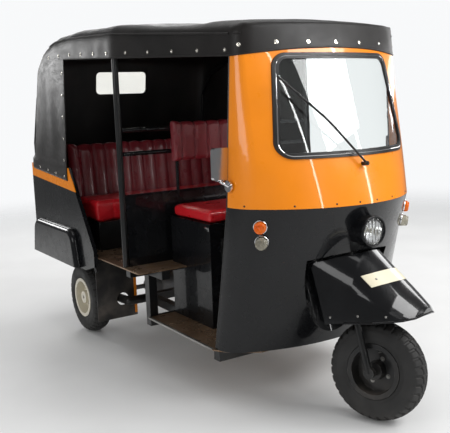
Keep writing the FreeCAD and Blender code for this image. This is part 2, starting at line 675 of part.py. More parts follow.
def steering():
    """The steered pieces without the fender: the fork with its stem, the handlebar and its grips."""
    frame = steering_frame()
    leg_x = value("fork_half")
    axle = bar_between(Vector(-leg_x, 0, 0), Vector(leg_x, 0, 0), value("axle_radius"))
    crown = on_axis("crown_height")
    fork = axle
    for sign in (-1, 1):
        foot = Vector(sign * leg_x, 0, -4)
        shoulder = Vector(sign * leg_x, crown.y, crown.z)
        fork = fork.fuse(bar_between(foot, shoulder, value("fork_leg")))
        lug = Part.makeCylinder(22, 24, Vector(sign * leg_x - 12, 0, 0), Vector(1, 0, 0))
        fork = fork.fuse(lug)
    yoke = bar_between(Vector(-leg_x - 12, crown.y, crown.z), Vector(leg_x + 12, crown.y, crown.z), 19)
    stem = bar_between(crown, on_axis("bar_height"), value("stem_radius"))
    fork = fork.fuse([yoke, stem])
    brackets = []
    for sign in (-1, 1):
        hold = Vector(sign * (leg_x + 6), crown.y + 8, crown.z + 6)
        reach = Vector(sign * value("fender_back_half - fender_wall - seat_gap"), crown.y + 8, crown.z + 6)
        brackets.append(bar_between(hold, reach, 8))
    fork = fork.fuse(brackets)
    piece = shaped("steering_fork", fork)
    piece.Placement = frame
    keep(piece, "steering_fork")

    top = on_axis("bar_height")
    sleeve = bar_between(on_axis("bar_height - 60"), on_axis("bar_height + 26"), 30)
    sleeve = sleeve.cut(bar_between(crown, top, value("stem_radius + seat_gap")))
    half = value("bar_half")
    back = value("bar_back")
    ends = [Vector(sign * half, top.y + back, top.z + 14) for sign in (-1, 1)]
    bends = [Vector(sign * half * 0.5, top.y + 8, top.z + 14) for sign in (-1, 1)]
    bar = tube([ends[0], bends[0], bends[1], ends[1]], value("bar_radius"), 90)
    piece = shaped("handlebar", bar.fuse(sleeve))
    piece.Placement = frame
    keep(piece, "handlebar")

    grips = []
    for end, bend in zip(ends, bends):
        along = (bend - end).normalize()
        grip = bar_between(end - along * 6, end + along * value("grip_length"), value("grip_radius"))
        grips.append(grip.cut(bar_between(end, end + along * 300, value("bar_radius + seat_gap"))))
    piece = shaped("handlebar_grips", Part.makeCompound(grips))
    piece.Placement = frame
    keep(piece, "handlebar_grips")


def fender_wire(row, grow=0, ahead_more=0, low_more=0):
    """One section of the front fender: two upright sides under an arch."""
    ahead, half, low, spring, top = (value("fender_%s_%s" % (row, column)) for column in FENDER_COLUMNS)
    half += grow
    left, right = Vector(-half, -ahead - ahead_more, low - low_more), Vector(half, -ahead - ahead_more, low - low_more)
    up = Vector(0, 0, spring - low + low_more)
    return outline_of([left, left + up, right + up, right], {1: Vector(0, left.y, top + grow)})


def fender_solid(grow, nose_more=0, deeper=0):
    """The solid under the front fender's skin, in the fork's own frame."""
    names = [row[0] for row in FENDER_ROWS]
    return Part.makeLoft([
        fender_wire(name, grow, nose_more * (name == names[0]) - deeper * (name == names[-1]), deeper)
        for name in names], True, True)


def front_fender():
    """The broad fender that turns with the front wheel, and the blank plate on it."""
    wall = value("fender_wall")
    shell = fender_solid(0).cut(fender_solid(-wall, -wall, 30))
    over = Part.makeCylinder(600, 600, on_axis("fender_top"), on_axis("1"))
    behind = Part.makeBox(800, 600, 1800, Vector(-400, value("fender_back"), -900))
    behind.Placement = Placement(Vector(), Rotation(Vector(1, 0, 0), -value("steer_rake"))).multiply(behind.Placement)
    gap = value("seat_gap")
    lift = gap + value("plate_wall")
    strip = fender_solid(lift, lift).cut(fender_solid(gap, gap, 30))
    half, tall = value("badge_half"), value("badge_tall")
    field = Part.makeBox(2 * half, 600, tall, Vector(-half, -300, -tall / 2))
    field.Placement = Placement(point("0", "badge_y", "badge_height"),
                                Rotation(Vector(1, 0, 0), -value("badge_slope"))).multiply(field.Placement)
    for label, shape in (("front_fender", shell.cut(over).cut(behind)), ("front_plate", strip.common(field))):
        piece = shaped(label, shape)
        piece.Placement = steering_frame()
        keep(piece, label)


def chassis():
    """The welded frame of low and high rails, legs and cross members, and the head tube on it."""
    parts = []
    low = value("floor_low - seat_gap - rail_depth")
    high = value("cabin_low - seat_gap - rail_depth")
    depth = value("rail_depth")
    half = value("rail_half")
    x = value("rail_x")
    front, rear, top_rear = value("rail_front_y"), value("rail_rear_y"), value("rail_top_rear_y")
    leg_y = value(LEG_Y)
    axle_y = value(REAR_AXLE_Y)
    edge = value("floor_half") - 34
    outer = edge + half
    cabin_reach = value(CABIN_HALF) - 24
    for sign in (-1, 1):
        parts += [
            Part.makeBox(2 * half, rear - front, depth, Vector(sign * x - half, front, low)),
            Part.makeBox(2 * half, top_rear - leg_y, depth, Vector(sign * x - half, leg_y, high)),
            Part.makeBox(2 * half, leg_y + half - value("cabin_front_y"), depth,
                         Vector(sign * edge - half, value("cabin_front_y"), high)),
            Part.makeBox(2 * half, 2 * half, high - low + depth, Vector(sign * edge - half, leg_y, low))]
        for y in (leg_y, rear - 2 * half):
            parts.append(Part.makeBox(2 * half, 2 * half, high - low + depth, Vector(sign * x - half, y, low)))
    for y, reach in ((front, outer), (leg_y, outer), (rear - 2 * half, x + half)):
        parts.append(Part.makeBox(2 * reach, 2 * half, depth, Vector(-reach, y, low)))
    for y in (leg_y, rear - 2 * half, axle_y - half, top_rear - 2 * half):
        parts.append(Part.makeBox(2 * cabin_reach, 2 * half, depth, Vector(-cabin_reach, y, high)))
    frame = parts[0].fuse(parts[1:])
    keep(shaped("chassis_frame", frame.removeSplitter()), "chassis_frame")
    head = Part.makeCylinder(
        value("head_radius"), value("head_high - head_low"), axis_in_vehicle("head_low"), on_axis("1"))
    knee = axis_in_vehicle("(head_low + head_high) / 2")
    down = tube([
        knee, Vector(0, value("nose_band_rear") + 60, knee.z - 40),
        Vector(0, front + half, value("floor_low") + 120), Vector(0, front + half, value("floor_low"))],
        value("down_radius"), 60)
    stem_hole = bar_between(axis_in_vehicle("fender_top"), axis_in_vehicle("bar_height"),
                            value("stem_radius + pin_fit"))
    keep(shaped("steering_head", head.fuse(down).cut(stem_hole)), "steering_head")


def floors():
    """The driver's floor and, higher, the passengers' floor around the seat box."""
    driver = padded("driver_plate", "XY_Plane", (
        ("-floor_half", LEG_Y + " - seat_gap"), ("-floor_half", "nose_foot_rear + 2"),
        ("-floor_half + 40", "nose_foot_rear - 60"), ("-floor_half + 150", "floor_front_y"),
        ("floor_half - 150", "floor_front_y"), ("floor_half - 40", "nose_foot_rear - 60"),
        ("floor_half", "nose_foot_rear + 2"), ("floor_half", LEG_Y + " - seat_gap")), "floor_sheet")
    place(driver, "0", "0", "floor_low")
    hole = rod("floor_hole", "down_radius + seat_gap", ("0", "rail_front_y + rail_half", "floor_low - 1"),
               "floor_sheet + 2")
    keep(carve("driver_floor", driver, hole), "driver_floor")
    side = "(box_half + seat_gap)"
    back = "(box_rear_y + seat_gap)"
    cabin = padded("passenger_floor", "XY_Plane", (
        ("-" + CABIN_HALF, "cabin_front_y"), ("-" + side, "cabin_front_y"), ("-" + side, back), (side, back),
        (side, "cabin_front_y"), (CABIN_HALF, "cabin_front_y"), (CABIN_HALF, "tail_corner_y - seat_gap"),
        ("-" + CABIN_HALF, "tail_corner_y - seat_gap")), "floor_sheet")
    keep(place(cabin, "0", "0", "cabin_low"), "passenger_floor")


def quarter_panels():
    """The body's sides behind the door openings and the closed side on the left."""
    sides = []
    for side, start in (("left", "body_half - side_wall"), ("right", "-body_half")):
        panel = padded("quarter_" + side, "YZ_Plane", (
            ("quarter_foot_y", "cabin_low - rail_depth"), ("quarter_foot_y + 120", "skirt_low"),
            ("tail_corner_y - seat_gap", "skirt_low"), ("tail_corner_y - seat_gap", "waist"),
            ("quarter_top_y", "waist"), ("quarter_foot_y", "cabin_low + 40")), "side_wall")
        sides.append(place(panel, start))
    keep(group("quarter_panels", sides), "quarter_panels")
    closed = padded("left_side_panel", "YZ_Plane", (
        ("post_y - post_radius", "cabin_low"), ("quarter_foot_y - seat_gap", "cabin_low"),
        ("quarter_foot_y - seat_gap", "cabin_low + 40"), ("quarter_top_y - seat_gap", "waist"),
        ("post_y - post_radius", "waist")), "side_wall")
    keep(place(closed, "body_half - side_wall"), "left_side_panel")


def tail_solid(inset, low, high):
    """The solid within the curved rear wall, ahead of some depth in it."""
    half = value("body_half") - inset
    ends = [Vector(sign * half, value("tail_corner_y"), low) for sign in (-1, 1)]
    face = Part.Face(outline_of(ends, {0: Vector(0, value("tail_y") - inset, low)}))
    return face.extrude(Vector(0, 0, high - low))


def rear_panel():
    """The curved rear wall with the opening for the boot lid, and the lid in it."""
    wall = value("side_wall")
    inner = tail_solid(wall, value("skirt_low"), value("waist"))
    shell = tail_solid(0, value("skirt_low"), value("waist")).cut(inner)
    gap = value("door_gap")
    half, low, high = value("lid_half"), value("lid_low"), value("lid_high")
    reach = (value("tail_corner_y") - 40, value("tail_y") + 40)
    opening = rounded_prism((half + gap, low - gap), (half + gap, high + gap), 30, *reach)
    panel = shell.cut(opening)
    lid = shell.common(rounded_prism((half, low), (half, high), 30 - gap, *reach))
    for x in (-half * 0.6, half * 0.6):
        pin = Vector(x, value(LID_HINGE[0]), value(LID_HINGE[1]))
        fixed, moving = hinge(pin, Vector(0, -1, 0), 16, Vector(0, 0, 1))
        panel = panel.fuse(fixed.cut(inner))
        lid = lid.fuse(moving.cut(inner))
    keep(shaped("rear_panel", panel), "rear_panel")
    keep(shaped("boot_lid", lid), "boot_lid")


def rear_trim():
    """The tail lamps, the blank rear plate and the tubular bumper."""
    skin = tail_solid(-value("seat_gap"), value("skirt_low"), value("waist"))
    lamps = []
    for sign in (-1, 1):
        lamp = rounded_prism((34, 640), (34, 790), 12, value("tail_corner_y") + 1, value("tail_y") + 4)
        lamp.translate(Vector(sign * 480, 0, 0))
        lamps.append(lamp.cut(skin))
    keep(shaped("tail_lamps", Part.makeCompound(lamps)), "tail_lamps")
    plate = block("rear_plate", ("-plate_half", "tail_y + seat_gap", "lid_low - 108"),
                  ("plate_half", "tail_y + seat_gap + plate_wall", "lid_low - 10"))
    keep(plate, "rear_plate")
    height = value("bumper_height")
    back = value("tail_y")
    bar = tube([Vector(-520, back - 90, height), Vector(-440, back, height), Vector(440, back, height),
                Vector(520, back - 90, height)], value("bumper_radius"), 60)
    stays = []
    for sign in (-1, 1):
        x = sign * value("rail_x")
        stays.append(tube([
            Vector(x, value("rail_top_rear_y - 22"), value("cabin_low - rail_depth - 2 * seat_gap")),
            Vector(x, value("rail_top_rear_y - 22"), height), Vector(x, back, height)], 11, 30))
    keep(shaped("rear_bumper", bar.fuse(stays)), "rear_bumper")


def hinge(pin, inward, reach, fixed_side):
    """A hinge along X: a pin on two leaves, and the knuckle between them with its leaf.

    inward points from the pin to the pieces that it joins, and fixed_side from the pin
    to the piece that holds it, across that way.
    """
    radius = value("knuckle_radius")
    length = value("knuckle_length")
    side = Vector(length / 2, 0, 0)
    cheek = Vector(8, 0, 0)
    fixed = bar_between(pin - side - cheek, pin + side + cheek, value("pin_radius"))
    for sign in (-1, 1):
        start = pin + (side + Vector(1, 0, 0)) * sign
        fixed = fixed.fuse(bar_between(start, start + cheek * sign, radius))
        fixed = fixed.fuse(leaf(start, start + cheek * sign, inward, reach, fixed_side, radius))
    moving = bar_between(pin - side, pin + side, radius)
    moving = moving.fuse(leaf(pin - side, pin + side, inward, reach, -fixed_side, radius))
    bore = bar_between(pin - side * 2, pin + side * 2, value("pin_radius + pin_fit"))
    return fixed, moving.cut(bore)


def leaf(start, end, inward, reach, side, radius):
    """The flat leaf from a hinge's barrel to the piece that it is fixed to."""
    near, far = start + side * 3, start + side * radius
    face = Part.Face(outline_of([near, far, far + inward * (reach + radius), near + inward * (reach + radius)], {}))
    return face.extrude(end - start)


def fender_block(less, out, foot):
    """The bulge over a rear wheel as a solid on the plane of the wall, for the vehicle's left side."""
    front, rear = value("rear_fender_front_y") + less, value("rear_fender_rear_y") - less
    high = value("rear_fender_high") - less
    slant = value("rear_fender_slant")
    spots = [Vector(0, front, foot), Vector(0, rear, foot), Vector(0, rear - slant, high),
             Vector(0, front + slant, high)]
    solid = Part.Face(outline_of(spots, {})).extrude(Vector(out, 0, 0))
    corners = [edge for edge in solid.Edges if abs(edge.tangentAt(edge.FirstParameter).x) > 0.99
               and edge.CenterOfMass.z > high - 1]
    solid = solid.makeFillet(value("rear_fender_corner") - less, corners)
    rim = [edge for edge in solid.Edges if edge.BoundBox.XMin > out - 1 and edge.BoundBox.ZMax > foot + 1]
    return solid.makeFillet(value("rear_fender_edge") - less, rim)


def rear_fenders():
    """The long low bulges over the rear wheels, outside the body's sides and open below."""
    wall = value("fender_wall")
    out, foot = value("rear_fender_out"), value("rear_fender_low")
    shell = fender_block(0, out, foot).cut(fender_block(wall, out - wall, foot - wall))
    left = shell.copy()
    left.translate(Vector(value("body_half + seat_gap"), 0, 0))
    right = left.mirror(Vector(), Vector(1, 0, 0))
    keep(shaped("rear_fenders", Part.makeCompound([left, right])), "rear_fenders")


def wall_at(height):
    """Half width, corner and tail of the inside of the canopy's wall at one height."""
    share = (height - value("waist")) / value("eave_height - waist")
    return [value(low) + share * (value(high) - value(low)) for low, high in (
        ("body_half", "eave_half"), ("tail_corner_y", "eave_corner_y"), ("tail_y", "eave_tail_y"))]


def nose_half_at(height):
    """Half the width of the nose's rear edge at one height."""
    half = 0
    for low, high in zip(UPPER_ROWS, UPPER_ROWS[1:]):
        foot, top = value("nose_%s_height" % low), value("nose_%s_height" % high)
        if height >= foot:
            share = (height - foot) / (top - foot)
            half = value("nose_%s_half" % low) + share * value("nose_%s_half - nose_%s_half" % (high, low))
    return half


def hood_half(place_y, height):
    """Half the width of the inside of the canopy at one place and height."""
    half = wall_at(height)[0]
    front, post = value("nose_brow_rear"), value("post_y")
    if place_y >= post:
        return half
    share = max(0, (place_y - front) / (post - front))
    return nose_half_at(height) * (1 - share) + half * share


def hood_walls(grow):
    """The solid within the canopy's walls behind the nose."""
    front = value("nose_brow_rear")
    levels = []
    for height in [value("waist") - 120] + [value("nose_%s_height" % row) for row in UPPER_ROWS[2:]]:
        half, corner, tail = wall_at(height)
        left = [Vector(nose_half_at(max(height, value("nose_band_height"))) + grow, front, height),
                Vector(half + grow, value("post_y"), height), Vector(half + grow, corner + grow, height)]
        levels.append(outline_of(left + mirrored(left), {2: Vector(0, tail + grow, height)}))
    return Part.makeLoft(levels, True, True)


def hood_roof(grow):
    """The solid under the canopy's roof, from bow to bow."""
    sections = []
    for row in HOOD_ROWS:
        y, eave, shoulder, top = (value("hood_%s_%s" % (row[0], column)) for column in HOOD_COLUMNS)
        half = hood_half(y, eave) + grow
        inner = half - value("shoulder_inset")
        wide = value("body_half") + 150
        rise = shoulder - eave
        bulge = Vector(half - 0.22 * value("shoulder_inset"), y, eave + grow + 0.62 * rise)
        left = [Vector(wide, y, value("waist") - 200), Vector(wide, y, eave + grow), Vector(half, y, eave + grow),
                Vector(inner, y, shoulder + grow)]
        sections.append(outline_of(left + mirrored(left), {
            2: bulge, 3: Vector(0, y, top + grow), 4: Vector(-bulge.x, y, bulge.z)}))
    return Part.makeLoft(sections, True, True)


def hood_solid(grow):
    """The whole solid under the canopy, grown by some amount."""
    return hood_walls(grow).fuse(nose_solid(UPPER_ROWS, grow, 20)).common(hood_roof(grow))


def side_opening(sign, back):
    """What is cut from the canopy's side over a door opening, up to its hem."""
    front = value("nose_brow_rear") - 1
    share = (back - value("hood_post_place")) / value("hood_rear_place - hood_post_place")
    hem = value("hood_post_eave") + share * value("hood_rear_eave - hood_post_eave") - value("flap")
    foot = value("waist") - 300
    spots = [Vector(0, front, foot), Vector(0, back, foot), Vector(0, back, hem),
             Vector(0, front, value("hem_side"))]
    return Part.Face(outline_of(spots, {})).extrude(Vector(sign * 900, 0, 0))


def canopy():
    """The cloth canopy as one shell with its side openings, its hems and the rear window."""
    gap = value("seat_gap")
    front = value("nose_brow_rear")
    shell = hood_solid(gap + value("canopy_wall")).cut(hood_solid(gap))
    foot = value("waist") - 300
    side, near = value("hem_side"), value("nose_screen_half")
    spots = [Vector(-900, 0, foot), Vector(-900, 0, side), Vector(-near, 0, side), Vector(near, 0, side),
             Vector(900, 0, side), Vector(900, 0, foot)]
    under = Part.Face(outline_of(spots, {2: Vector(0, 0, value("hem_front"))})).extrude(Vector(0, -700, 0))
    under.translate(Vector(0, front, 0))
    spots = [Vector(-900, front, foot), Vector(-900, 2000, foot), Vector(-900, 2000, value("hem_tail")),
             Vector(-900, value("tail_corner_y"), value("hem_tail")),
             Vector(-900, value("quarter_top_y"), value("hem_quarter")),
             Vector(-900, front, value("hem_quarter"))]
    hem = Part.Face(outline_of(spots, {})).extrude(Vector(1800, 0, 0))
    tools = [under, hem, side_opening(-1, value("quarter_top_y") + 14),
             side_opening(1, value("post_y + post_radius") + 6), window_prism(0)]
    pane = shell.common(window_prism(gap))
    for tool in tools:
        shell = shell.cut(tool)
    keep(shaped("canopy", shell), "canopy")
    keep(shaped("rear_window", pane), "rear_window")


def hood_frame():
    """The side posts, and the bent side rails and bows that carry the canopy."""
    radius = value("bow_radius")
    gap = value("seat_gap")
    post_x, post_y = value("post_x"), value("post_y")
    nose_x = nose_half_at(value("nose_brow_height")) - value("cowl_wall + bow_radius") - 1
    nose_y = value("nose_brow_rear")
    corner_x = value("body_half - seat_gap - bow_radius - bow_gap")
    tail_y = value("tail_corner_y - side_wall - bow_gap - 2 * bow_radius")
    below = value("bow_drop")
    posts = []
    rails = []
    seats_of_rails = []
    seats_of_posts = []
    for sign in (-1, 1):
        top = value("hood_post_eave") - below
        height = value("hood_nose_eave") - below + 6
        path = [
            Vector(sign * nose_x, nose_y - 10, height), Vector(sign * nose_x, nose_y + 26, height),
            Vector(sign * post_x, post_y, top),
            Vector(sign * post_x, value("hood_middle_place"), value("hood_middle_eave") - below),
            Vector(sign * post_x, value("hood_rear_place"), value("hood_rear_eave") - below),
            Vector(sign * post_x, value("hood_slope_place") + 10, value("hood_slope_eave") - below - 18),
            Vector(sign * (post_x + 8), value("hood_tail_place") - 4, value("hood_tail_eave") - 2 * below - 10),
            Vector(sign * corner_x, tail_y, value("waist") + 124),
            Vector(sign * corner_x, tail_y, value("waist + seat_gap"))]
        rails.append(tube(path, radius, 12))
        seats_of_rails.append(tube(path, radius + gap, 12))
        foot = Vector(sign * post_x, post_y, value(CABIN_TOP))
        head = Vector(foot.x, foot.y, top)
        posts.append(bar_between(foot, head, value("post_radius")).cut(seats_of_rails[-1]))
        seats_of_posts.append(bar_between(foot, head, value("post_radius") + gap))
    bows = []
    for row, x, y in (("nose", nose_x, nose_y + 24), ("post", post_x, post_y),
                      ("middle", post_x, value("hood_middle_place")), ("rear", post_x, value("hood_rear_place"))):
        eave, shoulder = value("hood_%s_eave" % row) - below, value("hood_%s_shoulder" % row) - below + 4
        bow = tube([Vector(-x, y, eave), Vector(42 - x, y, shoulder), Vector(x - 42, y, shoulder),
                    Vector(x, y, eave)], radius, 40)
        for seat in seats_of_rails + seats_of_posts:
            bow = bow.cut(seat)
        bows.append(max(bow.Solids, key=lambda solid: solid.Volume))
    keep(shaped("side_posts", Part.makeCompound(posts)), "side_posts")
    keep(shaped("hood_rails", Part.makeCompound(rails)), "hood_rails")
    keep(shaped("hood_bows", Part.makeCompound(bows)), "hood_bows")


def seats():
    """The passengers' bench, the driver's seat box with its door, the pads and the engine."""
    base = block("bench_outer", ("-bench_half + 30", "bench_front_y + 12", CABIN_TOP),
                 ("bench_half - 30", "bench_rear_y + 60", "bench_low - seat_gap"))
    hollow = block("bench_hollow", ("-bench_half + 42", "bench_front_y + 24", CABIN_TOP + " - 1"),
                   ("bench_half - 42", "bench_rear_y + 61", "bench_low - 12"))
    keep(carve("passenger_seat_base", base, hollow), "passenger_seat_base")
    cushion = padded("passenger_cushion", "XY_Plane", rectangle(
        "-bench_half", "bench_half", "bench_front_y", "bench_rear_y - seat_gap"), "bench_pad", rounding="20")
    keep(place(cushion, "0", "0", "bench_low"), "passenger_cushion")
    back = padded("passenger_backrest", "YZ_Plane", rectangle(
        "0", "backrest_pad", "0", "backrest_top - bench_low - 20"), "2 * bench_half", centred=True, rounding="backrest_edge")
    place(back, whole="placement(vector(0; bench_rear_y - backrest_edge * sin(backrest_lean); bench_low + 20); "
                      "rotation(vector(-1; 0; 0); backrest_lean))")
    keep(back, "passenger_backrest")

    floor = "(floor_low + floor_sheet + seat_gap)"
    box = block("box_outer", ("-box_half", "box_front_y", floor), ("box_half", "box_rear_y", "box_high"))
    inside = block("box_inside", ("-box_half + box_wall", "box_front_y + box_wall", floor + " - 1"),
                   ("box_half - box_wall", "box_rear_y - box_wall", "box_high - box_wall"))
    mouth = block("box_mouth", ("-box_half + door_side", "box_front_y - 1", "floor_low + door_foot"),
                  ("box_half - door_side", "box_front_y + box_wall + 1", "box_high - door_head"))
    shell = carve("box_shell", box, join("box_tools", [inside, mouth]))
    door = block("door_plate",
                 ("-box_half + door_side + door_gap", "box_front_y", "floor_low + door_foot + door_gap"),
                 ("box_half - door_side - door_gap", "box_front_y + box_wall", "box_high - door_head - door_gap"))
    fixed_leaves = []
    moving_leaves = []
    for number, share in enumerate((-0.5, 0.5)):
        pin = Vector(share * value("box_half"), value(DOOR_HINGE[0]), value(DOOR_HINGE[1]))
        fixed, moving = hinge(pin, Vector(0, 1, 0), 9, Vector(0, 0, -1))
        fixed_leaves.append(shaped("box_leaf_%d" % number, fixed))
        moving_leaves.append(shaped("door_leaf_%d" % number, moving))
    keep(join("driver_seat_box", [shell] + fixed_leaves), "driver_seat_box")
    keep(join("engine_door", [door] + moving_leaves), "engine_door")
    cushion = padded("driver_cushion", "XY_Plane", rectangle(
        "-box_half - 8", "box_half + 8", "box_front_y - 4", "box_rear_y - 10"), "driver_pad", rounding="18")
    keep(place(cushion, "0", "0", "box_high + seat_gap"), "driver_cushion")
    rest = padded("driver_backrest", "XZ_Plane", rectangle(
        "-rest_half", "rest_half", "rest_low", "rest_high"), "rest_pad", rounding="18")
    keep(place(rest, "0", "partition_y + partition_wall / 2 - rail_tube - seat_gap", "0"), "driver_backrest")
    engine = padded("engine_block", "XY_Plane", rectangle("-150", "150", "-250", "-10"), "290", rounding="12")
    keep(place(engine, "0", "0", floor), "engine_block")


def partition():
    """The low wall behind the driver with the rails that carry the driver's backrest."""
    reach = "(post_x - post_radius - seat_gap)"
    middle = "(partition_y + partition_wall / 2)"
    wall = block("partition_sheet", ("-" + reach, "partition_y", CABIN_TOP),
                 (reach, "partition_y + partition_wall", "partition_top"))
    rails = [rod("partition_rail_%d" % number, "rail_tube", ("-" + reach, middle, height), "2 * " + reach, "x")
             for number, height in enumerate(("rest_low + 62", "rest_high - 46"))]
    stays = [rod("partition_stay_%d" % number, "8", (x, middle, "partition_top - 20"),
                 "rest_high - 46 - partition_top + 20")
             for number, x in enumerate(("-rest_half + 60", "rest_half - 60"))]
    keep(join("partition", [wall] + rails + stays), "partition")


def arm_shape(sign, grow=0):
    """One rear arm with its spring seat, its brake drum and its stub axle."""
    axle_y, axle_z = value(REAR_AXLE_Y), value("tyre_radius")
    pivot_y, pivot_z = value("rail_rear_y - rail_half"), value("floor_low - seat_gap - rail_half")
    x = sign * value(ARM_X)
    radius = value("arm_radius") + grow
    elbow = Vector(x, pivot_y, pivot_z)
    hub = Vector(x, axle_y, axle_z)
    face = sign * value(HUB_FACE)
    drum = bar_between(Vector(face, axle_y, axle_z), Vector(face - sign * value("drum_length"), axle_y, axle_z),
                       value("drum_radius") + grow)
    stub = bar_between(hub, Vector(sign * value("rear_track_half + hub_half - 4"), axle_y, axle_z),
                       value("axle_radius"))
    return bar_between(Vector(sign * value("rail_x + rail_half + seat_gap"), pivot_y, pivot_z), elbow, radius).fuse([
        bar_between(elbow, hub, radius), Part.makeSphere(radius, elbow), Part.makeSphere(radius, hub), drum, stub])


def running_gear():
    """The rear arms with their stub axles, the shock absorbers, the final drive and the splash panels."""
    gap = value("seat_gap")
    axle_y, axle_z = value(REAR_AXLE_Y), value("tyre_radius")
    top = value("cabin_low - rail_depth - 2 * seat_gap")
    arms = []
    shocks = []
    panels = []
    reach = value(ARM_X) - value("arm_radius") - gap
    case = bar_between(Vector(-reach, axle_y, axle_z), Vector(reach, axle_y, axle_z), value("shaft_radius"))
    body = turned_case(axle_y, axle_z)
    for sign in (-1, 1):
        arms.append(arm_shape(sign))
        x = sign * value(ARM_X)
        spring = axle_z + value("drum_radius") + 12
        shock = bar_between(Vector(x, axle_y, axle_z), Vector(x, axle_y, top), 11)
        shock = shock.fuse(bar_between(Vector(x, axle_y, spring), Vector(x, axle_y, top - 14), value("shock_radius")))
        shocks.append(shock.cut(arm_shape(sign, gap)))
        panel = Part.makeBox(245, 5, 404, Vector(-540 if sign < 0 else 295, 540, 116))
        panels.append(panel.cut(arm_shape(sign, 12)))
    hanger = Part.makeBox(70, 40, top - axle_z, Vector(-35, axle_y - 20, axle_z))
    keep(shaped("rear_arms", Part.makeCompound(arms)), "rear_arms")
    keep(shaped("shock_absorbers", Part.makeCompound(shocks)), "shock_absorbers")
    keep(shaped("final_drive", body.fuse([case, hanger])), "final_drive")
    keep(shaped("splash_panels", Part.makeCompound(panels)), "splash_panels")


def turned_case(axle_y, axle_z):
    """The final drive's case: a drum between two cones."""
    radius = value("case_radius")
    middle = Part.makeCylinder(radius, 90, Vector(-45, axle_y, axle_z), Vector(1, 0, 0))
    return middle.fuse([
        Part.makeCone(radius, 34, 70, Vector(sign * 45, axle_y, axle_z), Vector(sign, 0, 0)) for sign in (-1, 1)])


def main():
    """Build every sub-part, check it and write it."""
    for build in (chassis, floors, cowl_lower, cowl_upper, windscreen, wiper, headlamp, front_lamps, mirrors,
                  wheels, steering, front_fender, quarter_panels, rear_panel, rear_trim, rear_fenders,
                  hood_frame, canopy, seats, partition, running_gear):
        build()
    doc.recompute()
    for thing in doc.Objects:
        if "Invalid" in thing.State or "Error" in thing.State:
            raise RuntimeError("%s did not build" % thing.Label)
    for thing in kept:
        if thing.Shape.isNull() or not thing.Shape.isValid() or not thing.Shape.Solids:
            raise RuntimeError("%s has no valid shape" % thing.Label)
    os.makedirs("parts", exist_ok=True)
    for thing in kept:
        thing.Shape.exportStep("parts/%s.step" % thing.Label)
        box = thing.Shape.optimalBoundingBox()
        print("%-20s solids %d volume %.0f x %.0f..%.0f y %.0f..%.0f z %.0f..%.0f" % (
            thing.Label, len(thing.Shape.Solids), thing.Shape.Volume,
            box.XMin, box.XMax, box.YMin, box.YMax, box.ZMin, box.ZMax))


main()
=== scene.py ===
"""The looks of the auto rickshaw: paint, canopy, seats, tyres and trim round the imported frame."""

import logging
import math
from bisect import bisect_right
from collections.abc import Iterable, Sequence
from dataclasses import dataclass, field, replace
from enum import Enum
from typing import Protocol

import bmesh
import bpy
from mathutils import Matrix, Quaternion, Vector, noise
from mathutils.bvhtree import BVHTree


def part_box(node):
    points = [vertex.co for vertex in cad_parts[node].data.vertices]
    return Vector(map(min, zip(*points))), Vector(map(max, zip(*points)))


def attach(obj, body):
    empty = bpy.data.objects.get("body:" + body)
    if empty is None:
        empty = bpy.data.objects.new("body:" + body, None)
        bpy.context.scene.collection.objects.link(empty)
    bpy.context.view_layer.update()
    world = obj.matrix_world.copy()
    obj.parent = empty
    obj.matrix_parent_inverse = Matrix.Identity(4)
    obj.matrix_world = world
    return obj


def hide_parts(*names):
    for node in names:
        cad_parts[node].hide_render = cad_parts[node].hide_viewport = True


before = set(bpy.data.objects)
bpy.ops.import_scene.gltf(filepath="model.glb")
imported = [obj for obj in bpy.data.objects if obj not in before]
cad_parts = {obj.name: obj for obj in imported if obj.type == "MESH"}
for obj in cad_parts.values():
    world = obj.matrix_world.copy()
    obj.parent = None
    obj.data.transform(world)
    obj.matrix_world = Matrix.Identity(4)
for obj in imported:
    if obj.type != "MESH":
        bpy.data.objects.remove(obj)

LOG = logging.getLogger("auto_rickshaw")

Colour = tuple[float, float, float]
Part = tuple[list[Vector], list[tuple[int, ...]]]
Profile = tuple[tuple[float, float], ...]
Spots = tuple[tuple[float, float, float], ...]

LEFT = Vector((1.0, 0.0, 0.0))
BACK = Vector((0.0, 1.0, 0.0))
UP = Vector((0.0, 0.0, 1.0))


class Surface(Enum):
    """What the skin of a finish feels like, which sets its fine relief."""

    SPRAYED = "sprayed"
    HIDE = "hide"
    CLOTH = "cloth"
    MOULDED = "moulded"
    CAST = "cast"
    SMOOTH = "smooth"


